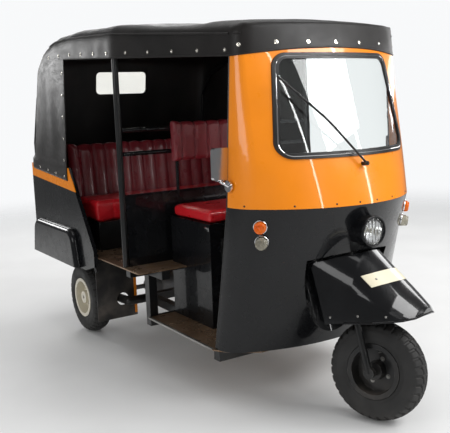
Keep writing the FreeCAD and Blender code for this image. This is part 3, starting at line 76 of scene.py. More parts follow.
@dataclass
class Wiring:
    """A node tree that is being filled."""

    tree: bpy.types.NodeTree

    def add(self, kind: str, feeds: dict | None = None, **settings: object) -> bpy.types.Node:
        """Adds a node.

        Args:
            kind: the node's type name.
            feeds: what each input socket gets, a socket or a plain value.
            settings: the node's own properties.

        Returns:
            The new node.
        """
        made = self.tree.nodes.new(kind)
        for key, value in settings.items():
            setattr(made, key, value)
        for key, value in (feeds or {}).items():
            if isinstance(value, bpy.types.NodeSocket):
                self.tree.links.new(value, made.inputs[key])
            else:
                made.inputs[key].default_value = value
        return made

    def calc(self, operation: str, first: object, second: object = 0.0,
             third: object = 0.0) -> bpy.types.NodeSocket:
        """One Math node, and its result."""
        return self.add("ShaderNodeMath", {0: first, 1: second, 2: third}, operation=operation).outputs[0]

    def span(self, value: object, low: float, high: float, start: float = 0.0,
             end: float = 1.0) -> bpy.types.NodeSocket:
        """A soft step of value between low and high, from start to end."""
        feeds = {"Value": value, "From Min": low, "From Max": high, "To Min": start, "To Max": end}
        return self.add("ShaderNodeMapRange", feeds, interpolation_type="SMOOTHSTEP").outputs[0]

    def blend(self, share: object, first: object, second: object) -> bpy.types.NodeSocket:
        """A mix of two colours."""
        return self.add("ShaderNodeMix", {0: share, 6: first, 7: second}, data_type="RGBA").outputs[2]

    def cloud(self, place: object, scale: object, detail: float = 3.0) -> bpy.types.NodeSocket:
        """Noise at a place, from 0 to 1."""
        return self.add("ShaderNodeTexNoise", {"Vector": place, "Scale": scale, "Detail": detail}).outputs[0]

    def place(self) -> bpy.types.NodeSocket:
        """The piece's own coordinates, in metres."""
        return self.add("ShaderNodeTexCoord").outputs["Object"]


def started(name: str) -> tuple[bpy.types.Material, Wiring, bpy.types.Node]:
    """A new material, with its wiring and its Principled shader."""
    material = bpy.data.materials.new(name)
    material.use_nodes = True
    return material, Wiring(material.node_tree), material.node_tree.nodes["Principled BSDF"]


class Effects:
    """The shader node groups that several finishes share."""

    def __init__(self) -> None:
        """Builds every group once."""
        self.edge_wear = self._edge_wear()
        self.settled_dust = self._settled_dust()
        self.pebble_grain = self._pebble_grain()
        self.coated_weave = self._coated_weave()
        self.spray_ripple = self._spray_ripple()

    @staticmethod
    def _group(name: str, inputs: dict[str, float],
               output: str) -> tuple[Wiring, bpy.types.Node, bpy.types.Node]:
        """Starts a group.

        Args:
            name: the group's name.
            inputs: its float inputs and their defaults.
            output: its one output.

        Returns:
            The wiring, the input node and the output node.
        """
        tree = bpy.data.node_groups.new(name, "ShaderNodeTree")
        for label, value in inputs.items():
            socket = tree.interface.new_socket(name=label, in_out="INPUT", socket_type="NodeSocketFloat")
            socket.default_value = value
        tree.interface.new_socket(name=output, in_out="OUTPUT", socket_type="NodeSocketFloat")
        wiring = Wiring(tree)
        return wiring, wiring.add("NodeGroupInput"), wiring.add("NodeGroupOutput")

    def _edge_wear(self) -> bpy.types.NodeTree:
        """A patchy mask along edges, where paint rubs through."""
        wiring, given, result = self._group("Edge wear", {"Width": 0.003, "Amount": 0.5}, "Wear")
        rounded = wiring.add("ShaderNodeBevel", {"Radius": given.outputs["Width"]}, samples=4).outputs[0]
        plain = wiring.add("ShaderNodeNewGeometry").outputs["Normal"]
        alike = wiring.add("ShaderNodeVectorMath", {0: rounded, 1: plain}, operation="DOT_PRODUCT")
        rim = wiring.span(alike.outputs["Value"], low=0.99, high=0.86)
        patches = wiring.span(wiring.cloud(wiring.place(), scale=34.0, detail=5.0), low=0.5, high=0.62)
        worn = wiring.calc("MULTIPLY", wiring.calc("MULTIPLY", rim, patches), given.outputs["Amount"])
        wiring.tree.links.new(worn, result.inputs["Wear"])
        return wiring.tree

    def _settled_dust(self) -> bpy.types.NodeTree:
        """A mask of dust on what faces up, and of road splash low down."""
        wiring, given, result = self._group("Settled dust", {"Amount": 0.3, "Splash": 0.35}, "Dust")
        normal = wiring.add("ShaderNodeNewGeometry").outputs["Normal"]
        facing = wiring.add("ShaderNodeSeparateXYZ", {0: normal}).outputs["Z"]
        place = wiring.place()
        height = wiring.add("ShaderNodeSeparateXYZ", {0: place}).outputs["Z"]
        above_share = 0.55
        above = wiring.calc("MULTIPLY", wiring.span(facing, low=0.35, high=1.0), above_share)
        splash = wiring.span(wiring.calc("SUBTRACT", given.outputs["Splash"], height), low=-0.12, high=0.3)
        both = wiring.calc("ADD", above, splash)
        cloud = wiring.span(wiring.cloud(place, scale=9.0, detail=6.0), low=0.34, high=0.74)
        mask = wiring.calc("MULTIPLY", wiring.calc("MULTIPLY", both, cloud), given.outputs["Amount"])
        wiring.tree.links.new(wiring.calc("MINIMUM", mask, 1.0), result.inputs["Dust"])
        return wiring.tree

    def _pebble_grain(self) -> bpy.types.NodeTree:
        """The small pebbles of hide, moulded plastic or cast metal."""
        wiring, given, result = self._group("Pebble grain", {"Scale": 700.0}, "Height")
        place = wiring.place()
        cell_share, fine_scale = 0.7, 0.4
        cells = wiring.add("ShaderNodeTexVoronoi", {"Vector": place, "Scale": given.outputs["Scale"]},
                           feature="SMOOTH_F1").outputs["Distance"]
        fine = wiring.cloud(place, wiring.calc("MULTIPLY", given.outputs["Scale"], fine_scale), detail=4.0)
        height = wiring.calc("ADD", wiring.calc("MULTIPLY", cells, cell_share), fine)
        wiring.tree.links.new(height, result.inputs["Height"])
        return wiring.tree

    def _coated_weave(self) -> bpy.types.NodeTree:
        """The threads that show through a coated cloth."""
        wiring, given, result = self._group("Coated weave", {"Threads": 420.0}, "Height")
        place = wiring.place()
        threads = wiring.add("ShaderNodeTexVoronoi", {
            "Vector": place, "Scale": given.outputs["Threads"], "Randomness": 0.12},
            distance="CHEBYCHEV").outputs["Distance"]
        slub_share = 0.45
        slub = wiring.calc("MULTIPLY", wiring.cloud(place, scale=60.0, detail=5.0), slub_share)
        wiring.tree.links.new(wiring.calc("ADD", threads, slub), result.inputs["Height"])
        return wiring.tree

    def _spray_ripple(self) -> bpy.types.NodeTree:
        """The slow waves of pressed sheet and the fine ripple of sprayed paint on it."""
        wiring, given, result = self._group("Spray ripple", {"Fine": 0.12}, "Height")
        place = wiring.place()
        slow = wiring.cloud(place, scale=5.0, detail=1.0)
        fine = wiring.calc("MULTIPLY", wiring.cloud(place, scale=320.0, detail=1.0), given.outputs["Fine"])
        wiring.tree.links.new(wiring.calc("ADD", slow, fine), result.inputs["Height"])
        return wiring.tree


@dataclass(frozen=True)
class Band:
    """A second colour above a line along the outside of the body.

    The sides are outside from a distance off the middle. The back is a bowed sheet,
    and the band starts where it does.
    """

    colour: Colour
    start: Colour
    rise: float
    line: float = 0.0008
    side: tuple[float, float] = (0.6125, 0.6135)
    back: float = 1.285
    bow: float = 0.089
    skin: float = 0.002

    def share(self, wiring: Wiring, place: bpy.types.NodeSocket) -> bpy.types.NodeSocket:
        """Where the band's colour shows, from 0 to 1."""
        parts = wiring.add("ShaderNodeSeparateXYZ", {0: place})
        foot = self.start[2] - self.rise * self.start[1]
        edge = wiring.calc("MULTIPLY_ADD", parts.outputs["Y"], self.rise, foot)
        above = wiring.calc("SUBTRACT", parts.outputs["Z"], edge)
        aside = wiring.calc("ABSOLUTE", parts.outputs["X"])
        bowed = wiring.calc("MULTIPLY_ADD", wiring.calc("MULTIPLY", aside, aside), self.bow, -self.back)
        behind = wiring.calc("ADD", parts.outputs["Y"], bowed)
        outside = wiring.calc("MAXIMUM", wiring.span(aside, *self.side), wiring.span(behind, -self.skin, 0.0))
        return wiring.calc("MULTIPLY", wiring.span(above, -self.line, self.line), outside)


@dataclass(frozen=True)
class Finish:
    """What a surface is made of and how it has aged."""

    name: str
    colour: Colour
    surface: Surface
    roughness: float = 0.4
    spread: float = 0.08
    metallic: float = 0.0
    coat: float = 0.0
    specular: float = 0.5
    relief: float = 0.0004
    scale: float = 700.0
    tone: float = 0.12
    wear: float = 0.0
    bare: Colour = (0.3, 0.29, 0.28)
    dust: float = 0.0
    splash: float = 0.3
    soil: Colour = (0.26, 0.22, 0.18)
    dulled: float = 0.35
    coat_roughness: float = 0.04
    sheen: float = 0.0
    soft_edge: float = 0.0
    band: Band | None = None

    def build(self, effects: Effects) -> bpy.types.Material:
        """Makes the material.

        Args:
            effects: the shared node groups.

        Returns:
            The material, with its own Principled shader.
        """
        material, wiring, shader = started(self.name)
        place = wiring.place()
        patches = wiring.span(wiring.cloud(place, scale=4.5, detail=5.0), low=0.3, high=0.7)
        tint = wiring.blend(patches, self._shade(1.0 - self.tone), self._shade(1.0 + self.tone))
        if self.band:
            tint = wiring.blend(self.band.share(wiring, place), tint, (*self.band.colour, 1.0))
        rough = wiring.span(wiring.cloud(place, scale=14.0, detail=4.0), 0.3, 0.7,
                            self.roughness - self.spread, self.roughness + self.spread)
        if self.wear:
            worn = wiring.add("ShaderNodeGroup", node_tree=effects.edge_wear)
            worn.inputs["Amount"].default_value = self.wear
            tint = wiring.blend(worn.outputs["Wear"], tint, (*self.bare, 1.0))
        if self.dust:
            dust = wiring.add("ShaderNodeGroup", node_tree=effects.settled_dust)
            dust.inputs["Amount"].default_value = self.dust
            dust.inputs["Splash"].default_value = self.splash
            tint = wiring.blend(dust.outputs["Dust"], tint, (*self.soil, 1.0))
            rough = wiring.calc("ADD", rough, wiring.calc("MULTIPLY", dust.outputs["Dust"], self.dulled))
        wiring.tree.links.new(tint, shader.inputs["Base Color"])
        wiring.tree.links.new(rough, shader.inputs["Roughness"])
        shader.inputs["Metallic"].default_value = self.metallic
        shader.inputs["Specular IOR Level"].default_value = self.specular
        shader.inputs["Coat Weight"].default_value = self.coat
        shader.inputs["Coat Roughness"].default_value = self.coat_roughness
        shader.inputs["Sheen Weight"].default_value = self.sheen
        self._relief(wiring, effects, shader)
        return material

    def _shade(self, times: float) -> tuple[float, float, float, float]:
        """The colour, lighter or darker."""
        return (*(min(1.0, part * times) for part in self.colour), 1.0)

    def _relief(self, wiring: Wiring, effects: Effects, shader: bpy.types.Node) -> None:
        """Puts the surface's fine relief on the shader's normal."""
        groups = {
            Surface.SPRAYED: (effects.spray_ripple, None),
            Surface.HIDE: (effects.pebble_grain, "Scale"),
            Surface.MOULDED: (effects.pebble_grain, "Scale"),
            Surface.CAST: (effects.pebble_grain, "Scale"),
            Surface.CLOTH: (effects.coated_weave, "Threads")}
        if self.surface not in groups:
            return
        tree, setting = groups[self.surface]
        group = wiring.add("ShaderNodeGroup", node_tree=tree)
        if setting:
            group.inputs[setting].default_value = self.scale
        bump = wiring.add("ShaderNodeBump", {"Height": group.outputs["Height"], "Distance": self.relief})
        wiring.tree.links.new(bump.outputs[0], shader.inputs["Normal"])
        if self.soft_edge:
            rounded = wiring.add("ShaderNodeBevel", {"Radius": self.soft_edge}, samples=4)
            wiring.tree.links.new(rounded.outputs[0], bump.inputs["Normal"])


@dataclass(frozen=True)
class Pane:
    """A clear or tinted pane or lens."""

    name: str
    colour: Colour
    roughness: float = 0.02
    transmission: float = 1.0
    flutes: float = 0.0
    relief: float = 0.0
    smear: float = 0.04
    index: float = 1.45
    bar_share: float = 0.35
    cup_scale: float = 4.0

    def build(self, effects: Effects) -> bpy.types.Material:
        """Makes the material.

        Args:
            effects: the shared node groups, which a pane has no use for.

        Returns:
            The material.
        """
        material, wiring, shader = started(self.name)
        place = wiring.place()
        smears = wiring.span(wiring.cloud(place, scale=6.0, detail=5.0), 0.45, 0.7,
                             self.roughness, self.roughness + self.smear)
        wiring.tree.links.new(smears, shader.inputs["Roughness"])
        shader.inputs["Base Color"].default_value = (*self.colour, 1.0)
        shader.inputs["Transmission Weight"].default_value = self.transmission
        shader.inputs["IOR"].default_value = self.index
        if self.flutes:
            bars = wiring.add("ShaderNodeTexWave", {"Vector": place, "Scale": self.flutes, "Distortion": 0.0},
                              bands_direction="X", wave_profile="SIN").outputs[1]
            cups = wiring.add("ShaderNodeTexVoronoi", {"Vector": place, "Scale": self.flutes * self.cup_scale},
                              feature="SMOOTH_F1").outputs["Distance"]
            height = wiring.calc("MULTIPLY_ADD", bars, self.bar_share, cups)
            bump = wiring.add("ShaderNodeBump", {"Height": height, "Distance": self.relief})
            wiring.tree.links.new(bump.outputs[0], shader.inputs["Normal"])
        return material


ORANGE: Colour = (0.9, 0.258, 0.004)
WAIST = Band(colour=ORANGE, start=(0.0, 0.479, 0.853), rise=0.071)

ORANGE_PAINT = Finish("orange_paint", ORANGE, Surface.SPRAYED, roughness=0.32, spread=0.05, coat=0.8,
                      specular=0.3, relief=0.0011, tone=0.03, wear=0.25, dust=0.04, soft_edge=0.0025,
                      bare=(0.35, 0.2, 0.09))
BLACK_PAINT = Finish("black_paint", (0.0055, 0.0058, 0.0068), Surface.SPRAYED, roughness=0.26, spread=0.06,
                     coat=0.45, specular=0.12, relief=0.0012, tone=0.2, wear=0.3, dust=0.07, splash=0.12,
                     soft_edge=0.0025, bare=(0.12, 0.12, 0.12))
BANDED_PAINT = replace(BLACK_PAINT, name="banded_paint", band=WAIST)
FENDER_PAINT = replace(BLACK_PAINT, name="fender_paint", roughness=0.22, spread=0.05, coat=0.8, specular=0.15,
                       relief=0.0016, wear=0.25, dust=0.05, splash=0.1, soft_edge=0.014)
FRAME_PAINT = Finish("frame_paint", (0.008, 0.0083, 0.0088), Surface.SPRAYED, roughness=0.38, spread=0.1,
                     coat=0.3, specular=0.3, relief=0.0009, tone=0.25, wear=0.55, dust=0.22, splash=0.25,
                     soft_edge=0.002)
FLOOR_METAL = Finish("floor_metal", (0.27, 0.172, 0.105), Surface.CAST, roughness=0.33, spread=0.14,
                     metallic=0.7, relief=0.0006, scale=120.0, tone=0.35, wear=0.6, dust=0.35, splash=0.0)
CLOTH = Finish("canopy_cloth", (0.0098, 0.0082, 0.0076), Surface.CLOTH, roughness=0.42, spread=0.05,
               specular=0.35, scale=480.0, tone=0.3, dust=0.07, splash=0.0, soil=(0.09, 0.08, 0.07),
               sheen=0.03)
MAROON_HIDE = Finish("seat_maroon", (0.165, 0.0105, 0.017), Surface.HIDE, roughness=0.34, spread=0.07,
                     coat=0.25, relief=0.0003, scale=620.0, tone=0.18, dust=0.06, splash=0.0)
# A brighter red copy of the maroon hide, put on the cushions that face up: painted sunlight on the seat tops,
# over the cover's own maroon.
PAINTED_SUNLIT_HIDE = Finish("seat_red", (0.5, 0.009, 0.015), Surface.HIDE, roughness=0.33, spread=0.07, coat=0.25,
                  relief=0.0003, scale=620.0, tone=0.12, dust=0.05, splash=0.0)
RUBBER = Finish("black_rubber", (0.012, 0.012, 0.0125), Surface.MOULDED, roughness=0.42, spread=0.08,
                relief=0.0003, scale=420.0, tone=0.2, dust=0.1, splash=0.1)
MUD_RUBBER = Finish("splash_rubber", (0.016, 0.015, 0.015), Surface.MOULDED, roughness=0.5, spread=0.1,
                    relief=0.0005, scale=300.0, tone=0.3, dust=0.4, splash=0.45)
TYRE_RUBBER = Finish("tyre_rubber", (0.0175, 0.017, 0.0165), Surface.MOULDED, roughness=0.62, spread=0.1,
                     relief=0.0005, scale=360.0, tone=0.25, dust=0.3, splash=0.12, soil=(0.12, 0.105, 0.09))
CHROME = Finish("bright_chrome", (0.72, 0.72, 0.73), Surface.SMOOTH, roughness=0.12, spread=0.06, metallic=1.0,
                tone=0.06, dust=0.05, splash=0.0)
NICKEL = Finish("stud_nickel", (0.72, 0.69, 0.62), Surface.SMOOTH, roughness=0.2, spread=0.08, metallic=1.0,
                tone=0.15)
ZINC = Finish("zinc_plate", (0.42, 0.41, 0.39), Surface.CAST, roughness=0.42, spread=0.12, metallic=1.0,
              relief=0.0002, scale=900.0, tone=0.2, dust=0.3, splash=0.2)
CREAM_PAINT = Finish("wheel_paint", (0.68, 0.63, 0.5), Surface.SPRAYED, roughness=0.34, spread=0.08, coat=0.5,
                     relief=0.0009, tone=0.08, wear=0.5, dust=0.4, splash=0.1, soft_edge=0.002)
PLATE_PAINT = Finish("plate_paint", (0.8, 0.74, 0.55), Surface.SPRAYED, roughness=0.36, spread=0.06, coat=0.4,
                     relief=0.0006, tone=0.05, wear=0.4, dust=0.1, splash=0.0, soft_edge=0.001)
CAST_METAL = Finish("cast_metal", (0.2, 0.2, 0.205), Surface.CAST, roughness=0.55, spread=0.1, metallic=0.8,
                    relief=0.0008, scale=260.0, tone=0.25, dust=0.5, splash=0.4)
GLASS = Pane("clear_glass", (0.93, 0.97, 0.96), roughness=0.0, smear=0.03)
LAMP_GLASS = Pane("lamp_glass", (0.95, 0.96, 0.95), roughness=0.05, flutes=18.0, relief=0.003, smear=0.05)
CLEAR_SHEET = Pane("window_sheet", (0.93, 0.92, 0.86), roughness=0.08, smear=0.12)
AMBER_LENS = Pane("amber_lens", (1.0, 0.2, 0.012), roughness=0.12, transmission=0.35, flutes=26.0,
                  relief=0.0012)
WHITE_LENS = Pane("white_lens", (0.5, 0.47, 0.38), roughness=0.1, transmission=0.6, flutes=26.0, relief=0.0012)
RED_LENS = Pane("red_lens", (0.55, 0.006, 0.006), roughness=0.12, transmission=0.35, flutes=26.0, relief=0.0012)


def bridge(rows: Sequence[Sequence[Vector]], ring: bool = True, ends: bool = False) -> Part:
    """Joins rows of points with faces.

    Args:
        rows: the rows, each with the same number of points.
        ring: whether each row closes on itself.
        ends: whether the first and last rows are filled.

    Returns:
        The points and faces.
    """
    count = len(rows[0])
    points = [point for row in rows for point in row]
    faces: list[tuple[int, ...]] = []
    for i in range(len(rows) - 1):
        for j in range(count if ring else count - 1):
            k = (j + 1) % count
            faces.append((i * count + j, i * count + k, (i + 1) * count + k, (i + 1) * count + j))
    if ends:
        faces.append(tuple(reversed(range(count))))
        faces.append(tuple(range(len(points) - count, len(points))))
    return points, faces


def turned(profile: Sequence[tuple[float, float]], centre: Vector, axis: Vector, steps: int = 32,
           ends: bool = True) -> Part:
    """Turns a profile round an axis.

    Args:
        profile: pairs of radius and place along the axis.
        centre: where the place along the axis is 0.
        axis: the axis.
        steps: the number of sides.
        ends: whether the first and last rings are filled.

    Returns:
        The points and faces.
    """
    axis = axis.normalized()
    side = axis.orthogonal().normalized()
    other = axis.cross(side)
    angles = [2 * math.pi * step / steps for step in range(steps)]
    rows = [[centre + axis * along + (side * math.cos(a) + other * math.sin(a)) * radius for a in angles]
            for radius, along in profile]
    return bridge(rows, True, ends)


def beading(radius: float, along: float, wide: float, tall: float, sides: int = 8) -> list[tuple[float, float]]:
    """The closed oval profile of a ring round an axis.

    Args:
        radius: the ring's radius, to the middle of the oval.
        along: the oval's middle along the axis.
        wide: half the oval's width, outwards.
        tall: half its height, along the axis.
        sides: the number of sides.

    Returns:
        Pairs of radius and place along the axis.
    """
    angles = [2 * math.pi * i / sides for i in range(sides)]
    ring = [(radius + wide * math.cos(a), along + tall * math.sin(a)) for a in angles]
    return [*ring, ring[0]]


def rounded_loop(corners: Sequence[tuple[float, float]], radius: float, grow: float = 0.0,
                 steps: int = 8, along: int = 24) -> list[tuple[float, float]]:
    """A loop with round corners, moved outwards.

    Args:
        corners: the four corners in order, anticlockwise.
        radius: the corners' radius before the loop is moved.
        grow: how far outwards the loop is moved.
        steps: points in a corner.
        along: parts of each straight run.

    Returns:
        The loop's points.
    """
    spots = [Vector(corner) for corner in corners]
    arcs = []
    for i, corner in enumerate(spots):
        before = (spots[i - 1] - corner).normalized()
        after = (spots[(i + 1) % len(spots)] - corner).normalized()
        half = before.angle(after) / 2
        middle = (before + after).normalized()
        centre = corner + middle * (radius / math.sin(half))
        first = centre + Vector((-before.y, before.x)) * radius
        start = math.atan2(*(reversed((first - centre)[:])))
        sweep = math.pi - 2 * half
        turns = [start + sweep * step / steps for step in range(steps + 1)]
        arcs.append([centre + Vector((math.cos(angle), math.sin(angle))) * (radius + grow) for angle in turns])
    loop = []
    for i, arc in enumerate(arcs):
        ahead = arcs[(i + 1) % len(arcs)][0]
        loop += arc + [arc[-1].lerp(ahead, part / along) for part in range(1, along)]
    return [tuple(spot) for spot in loop]


@dataclass
class Stock:
    """Mesh parts that are gathered into one piece."""

    points: list[Vector] = field(default_factory=list)
    faces: list[tuple[int, ...]] = field(default_factory=list)

    def take(self, part: Part) -> None:
        """Adds a part."""
        start = len(self.points)
        self.points += part[0]
        self.faces += [tuple(index + start for index in face) for face in part[1]]

    def dome(self, centre: Vector, axis: Vector, radius: float, height: float, steps: int = 14) -> None:
        """Adds a domed head that stands on a surface."""
        profile = [(radius * 0.96, -height * 0.4), (radius, 0.0)]
        profile += [(radius * math.cos(a), height * math.sin(a)) for a in (0.35, 0.7, 1.05, 1.35)]
        profile.append((radius * 0.05, height))
        self.take(turned(profile, centre, axis, steps))

    def screw(self, skin: BVHTree, start: Vector, way: Vector, size: tuple[float, float],
              steps: int = 14, reach: float = 10.0) -> None:
        """Adds a domed head where a ray meets a skin.

        Args:
            skin: the skin.
            start: where the ray starts.
            way: its direction.
            size: the head's radius and height.
            steps: the number of sides.
            reach: how far the ray goes.
        """
        found = touch(skin, start, way, reach)
        if found:
            self.dome(*found, *size, steps)

    def bolt(self, centre: Vector, axis: Vector, radius: float) -> None:
        """Adds a hexagon head on a washer, with the end of its thread."""
        washer = ((1.5, -0.2), (1.55, 0.12), (1.45, 0.22), (0.6, 0.22))
        head = ((1.08, 0.2), (1.15, 0.28), (1.15, 0.85), (0.95, 1.0))
        thread = ((0.55, 0.9), (0.55, 1.25), (0.4, 1.35))
        for profile, steps in ((washer, 20), (head, 6), (thread, 12)):
            self.take(turned([(radius * wide, radius * along) for wide, along in profile], centre, axis, steps))

    def bar(self, path: Sequence[Vector], radius: float, sides: int = 10, closed: bool = False) -> None:
        """Adds a round bar along a path.

        Args:
            path: the points of its centreline.
            radius: its radius.
            sides: the number of sides.
            closed: whether the path is a loop.
        """
        rows = []
        count = len(path)
        ahead = (path[1] - path[0]).normalized()
        side = ahead.orthogonal().normalized()
        for i, point in enumerate(path):
            after = path[(i + 1) % count] if closed or i < count - 1 else point
            before = path[i - 1] if closed or i > 0 else point
            way = (after - before).normalized()
            side = (side - way * side.dot(way)).normalized()
            other = way.cross(side)
            rows.append([point + (side * math.cos(a) + other * math.sin(a)) * radius
                         for a in (2 * math.pi * step / sides for step in range(sides))])
        if closed:
            rows.append(rows[0])
        self.take(bridge(rows, True, not closed))

    def slab(self, corner: Sequence[float], opposite: Sequence[float], edge: float = 0.002) -> None:
        """Adds a block with cut edges between two opposite corners."""
        (x0, x1), (y0, y1), (z0, z1) = (sorted(pair) for pair in zip(corner, opposite))
        rows = []
        for z, inset in ((z0, edge), (z0 + edge, 0.0), (z1 - edge, 0.0), (z1, edge)):
            left, right, front, back = x0 + inset, x1 - inset, y0 + inset, y1 - inset
            rows.append([Vector((left + edge, front, z)), Vector((right - edge, front, z)),
                         Vector((right, front + edge, z)), Vector((right, back - edge, z)),
                         Vector((right - edge, back, z)), Vector((left + edge, back, z)),
                         Vector((left, back - edge, z)), Vector((left, front + edge, z))])
        self.take(bridge(rows, True, True))

    def piece(self, name: str) -> bpy.types.Object:
        """The gathered parts as one object."""
        mesh = bpy.data.meshes.new(name)
        mesh.from_pydata([tuple(point) for point in self.points], [], self.faces)
        work = bmesh.new()
        work.from_mesh(mesh)
        bmesh.ops.remove_doubles(work, verts=work.verts, dist=0.00002)
        bmesh.ops.recalc_face_normals(work, faces=work.faces)
        work.to_mesh(mesh)
        work.free()
        made = bpy.data.objects.new(name, mesh)
        bpy.context.scene.collection.objects.link(made)
        return made


def skin_of(*nodes: str) -> BVHTree:
    """The surfaces of some CAD nodes at rest, for finding places on them."""
    points: list[Vector] = []
    faces: list[tuple[int, ...]] = []
    for name in nodes:
        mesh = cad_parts[name].data
        start = len(points)
        points += [vertex.co.copy() for vertex in mesh.vertices]
        faces += [tuple(index + start for index in face.vertices) for face in mesh.polygons]
    return BVHTree.FromPolygons(points, faces)


def touch(skin: BVHTree, start: Vector, way: Vector, reach: float = 10.0) -> tuple[Vector, Vector] | None:
    """The first place on a skin along a ray, and the outward normal there."""
    spot, normal, _, _ = skin.ray_cast(start, way, reach)
    if spot is None:
        return None
    return spot, normal if normal.dot(way) < 0 else -normal


class Workshop:
    """Holds the materials, and fits pieces to the frame."""

    def __init__(self) -> None:
        """Starts with the shared effects and no materials."""
        self.effects = Effects()
        self.materials: dict[str, bpy.types.Material] = {}

    def material(self, finish: Finish | Pane) -> bpy.types.Material:
        """The material of a finish, which is built once."""
        if finish.name not in self.materials:
            self.materials[finish.name] = finish.build(self.effects)
        return self.materials[finish.name]

    def dress(self, finish: Finish | Pane, *nodes: str) -> None:
        """Gives CAD nodes a finish."""
        for name in nodes:
            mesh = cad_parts[name].data
            mesh.materials.clear()
            mesh.materials.append(self.material(finish))
            LOG.info("dressed %s in %s", name, finish.name)

    def fit(self, made: bpy.types.Object, body: str, finish: Finish | Pane,
            stands_for: Iterable[str] = (), crease: float = 32.0) -> bpy.types.Object:
        """Fits a new piece.

        Args:
            made: the piece, in place.
            body: the CAD body that it rides on.
            finish: its finish.
            stands_for: the CAD nodes that it replaces.
            crease: the angle in degrees from which an edge is shaded sharp.

        Returns:
            The piece.
        """
        made.data.materials.clear()
        made.data.materials.append(self.material(finish))
        made.data.polygons.foreach_set("use_smooth", [True] * len(made.data.polygons))
        made.data.set_sharp_from_angle(angle=math.radians(crease))
        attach(made, body)
        if stands_for:
            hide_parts(*stands_for)
        LOG.info("fitted %s to %s: %d faces", made.name, body, len(made.data.polygons))
        return made


class SubAssembly(Protocol):
    """A group of pieces that are dressed and fitted together."""

    def dress(self, shop: Workshop) -> None:
        """Dresses its CAD nodes, and fits its own pieces."""


def baked(made: bpy.types.Object) -> None:
    """Applies a piece's modifiers to its mesh."""
    graph = bpy.context.evaluated_depsgraph_get()
    mesh = bpy.data.meshes.new_from_object(made.evaluated_get(graph))
    made.modifiers.clear()
    made.data = mesh


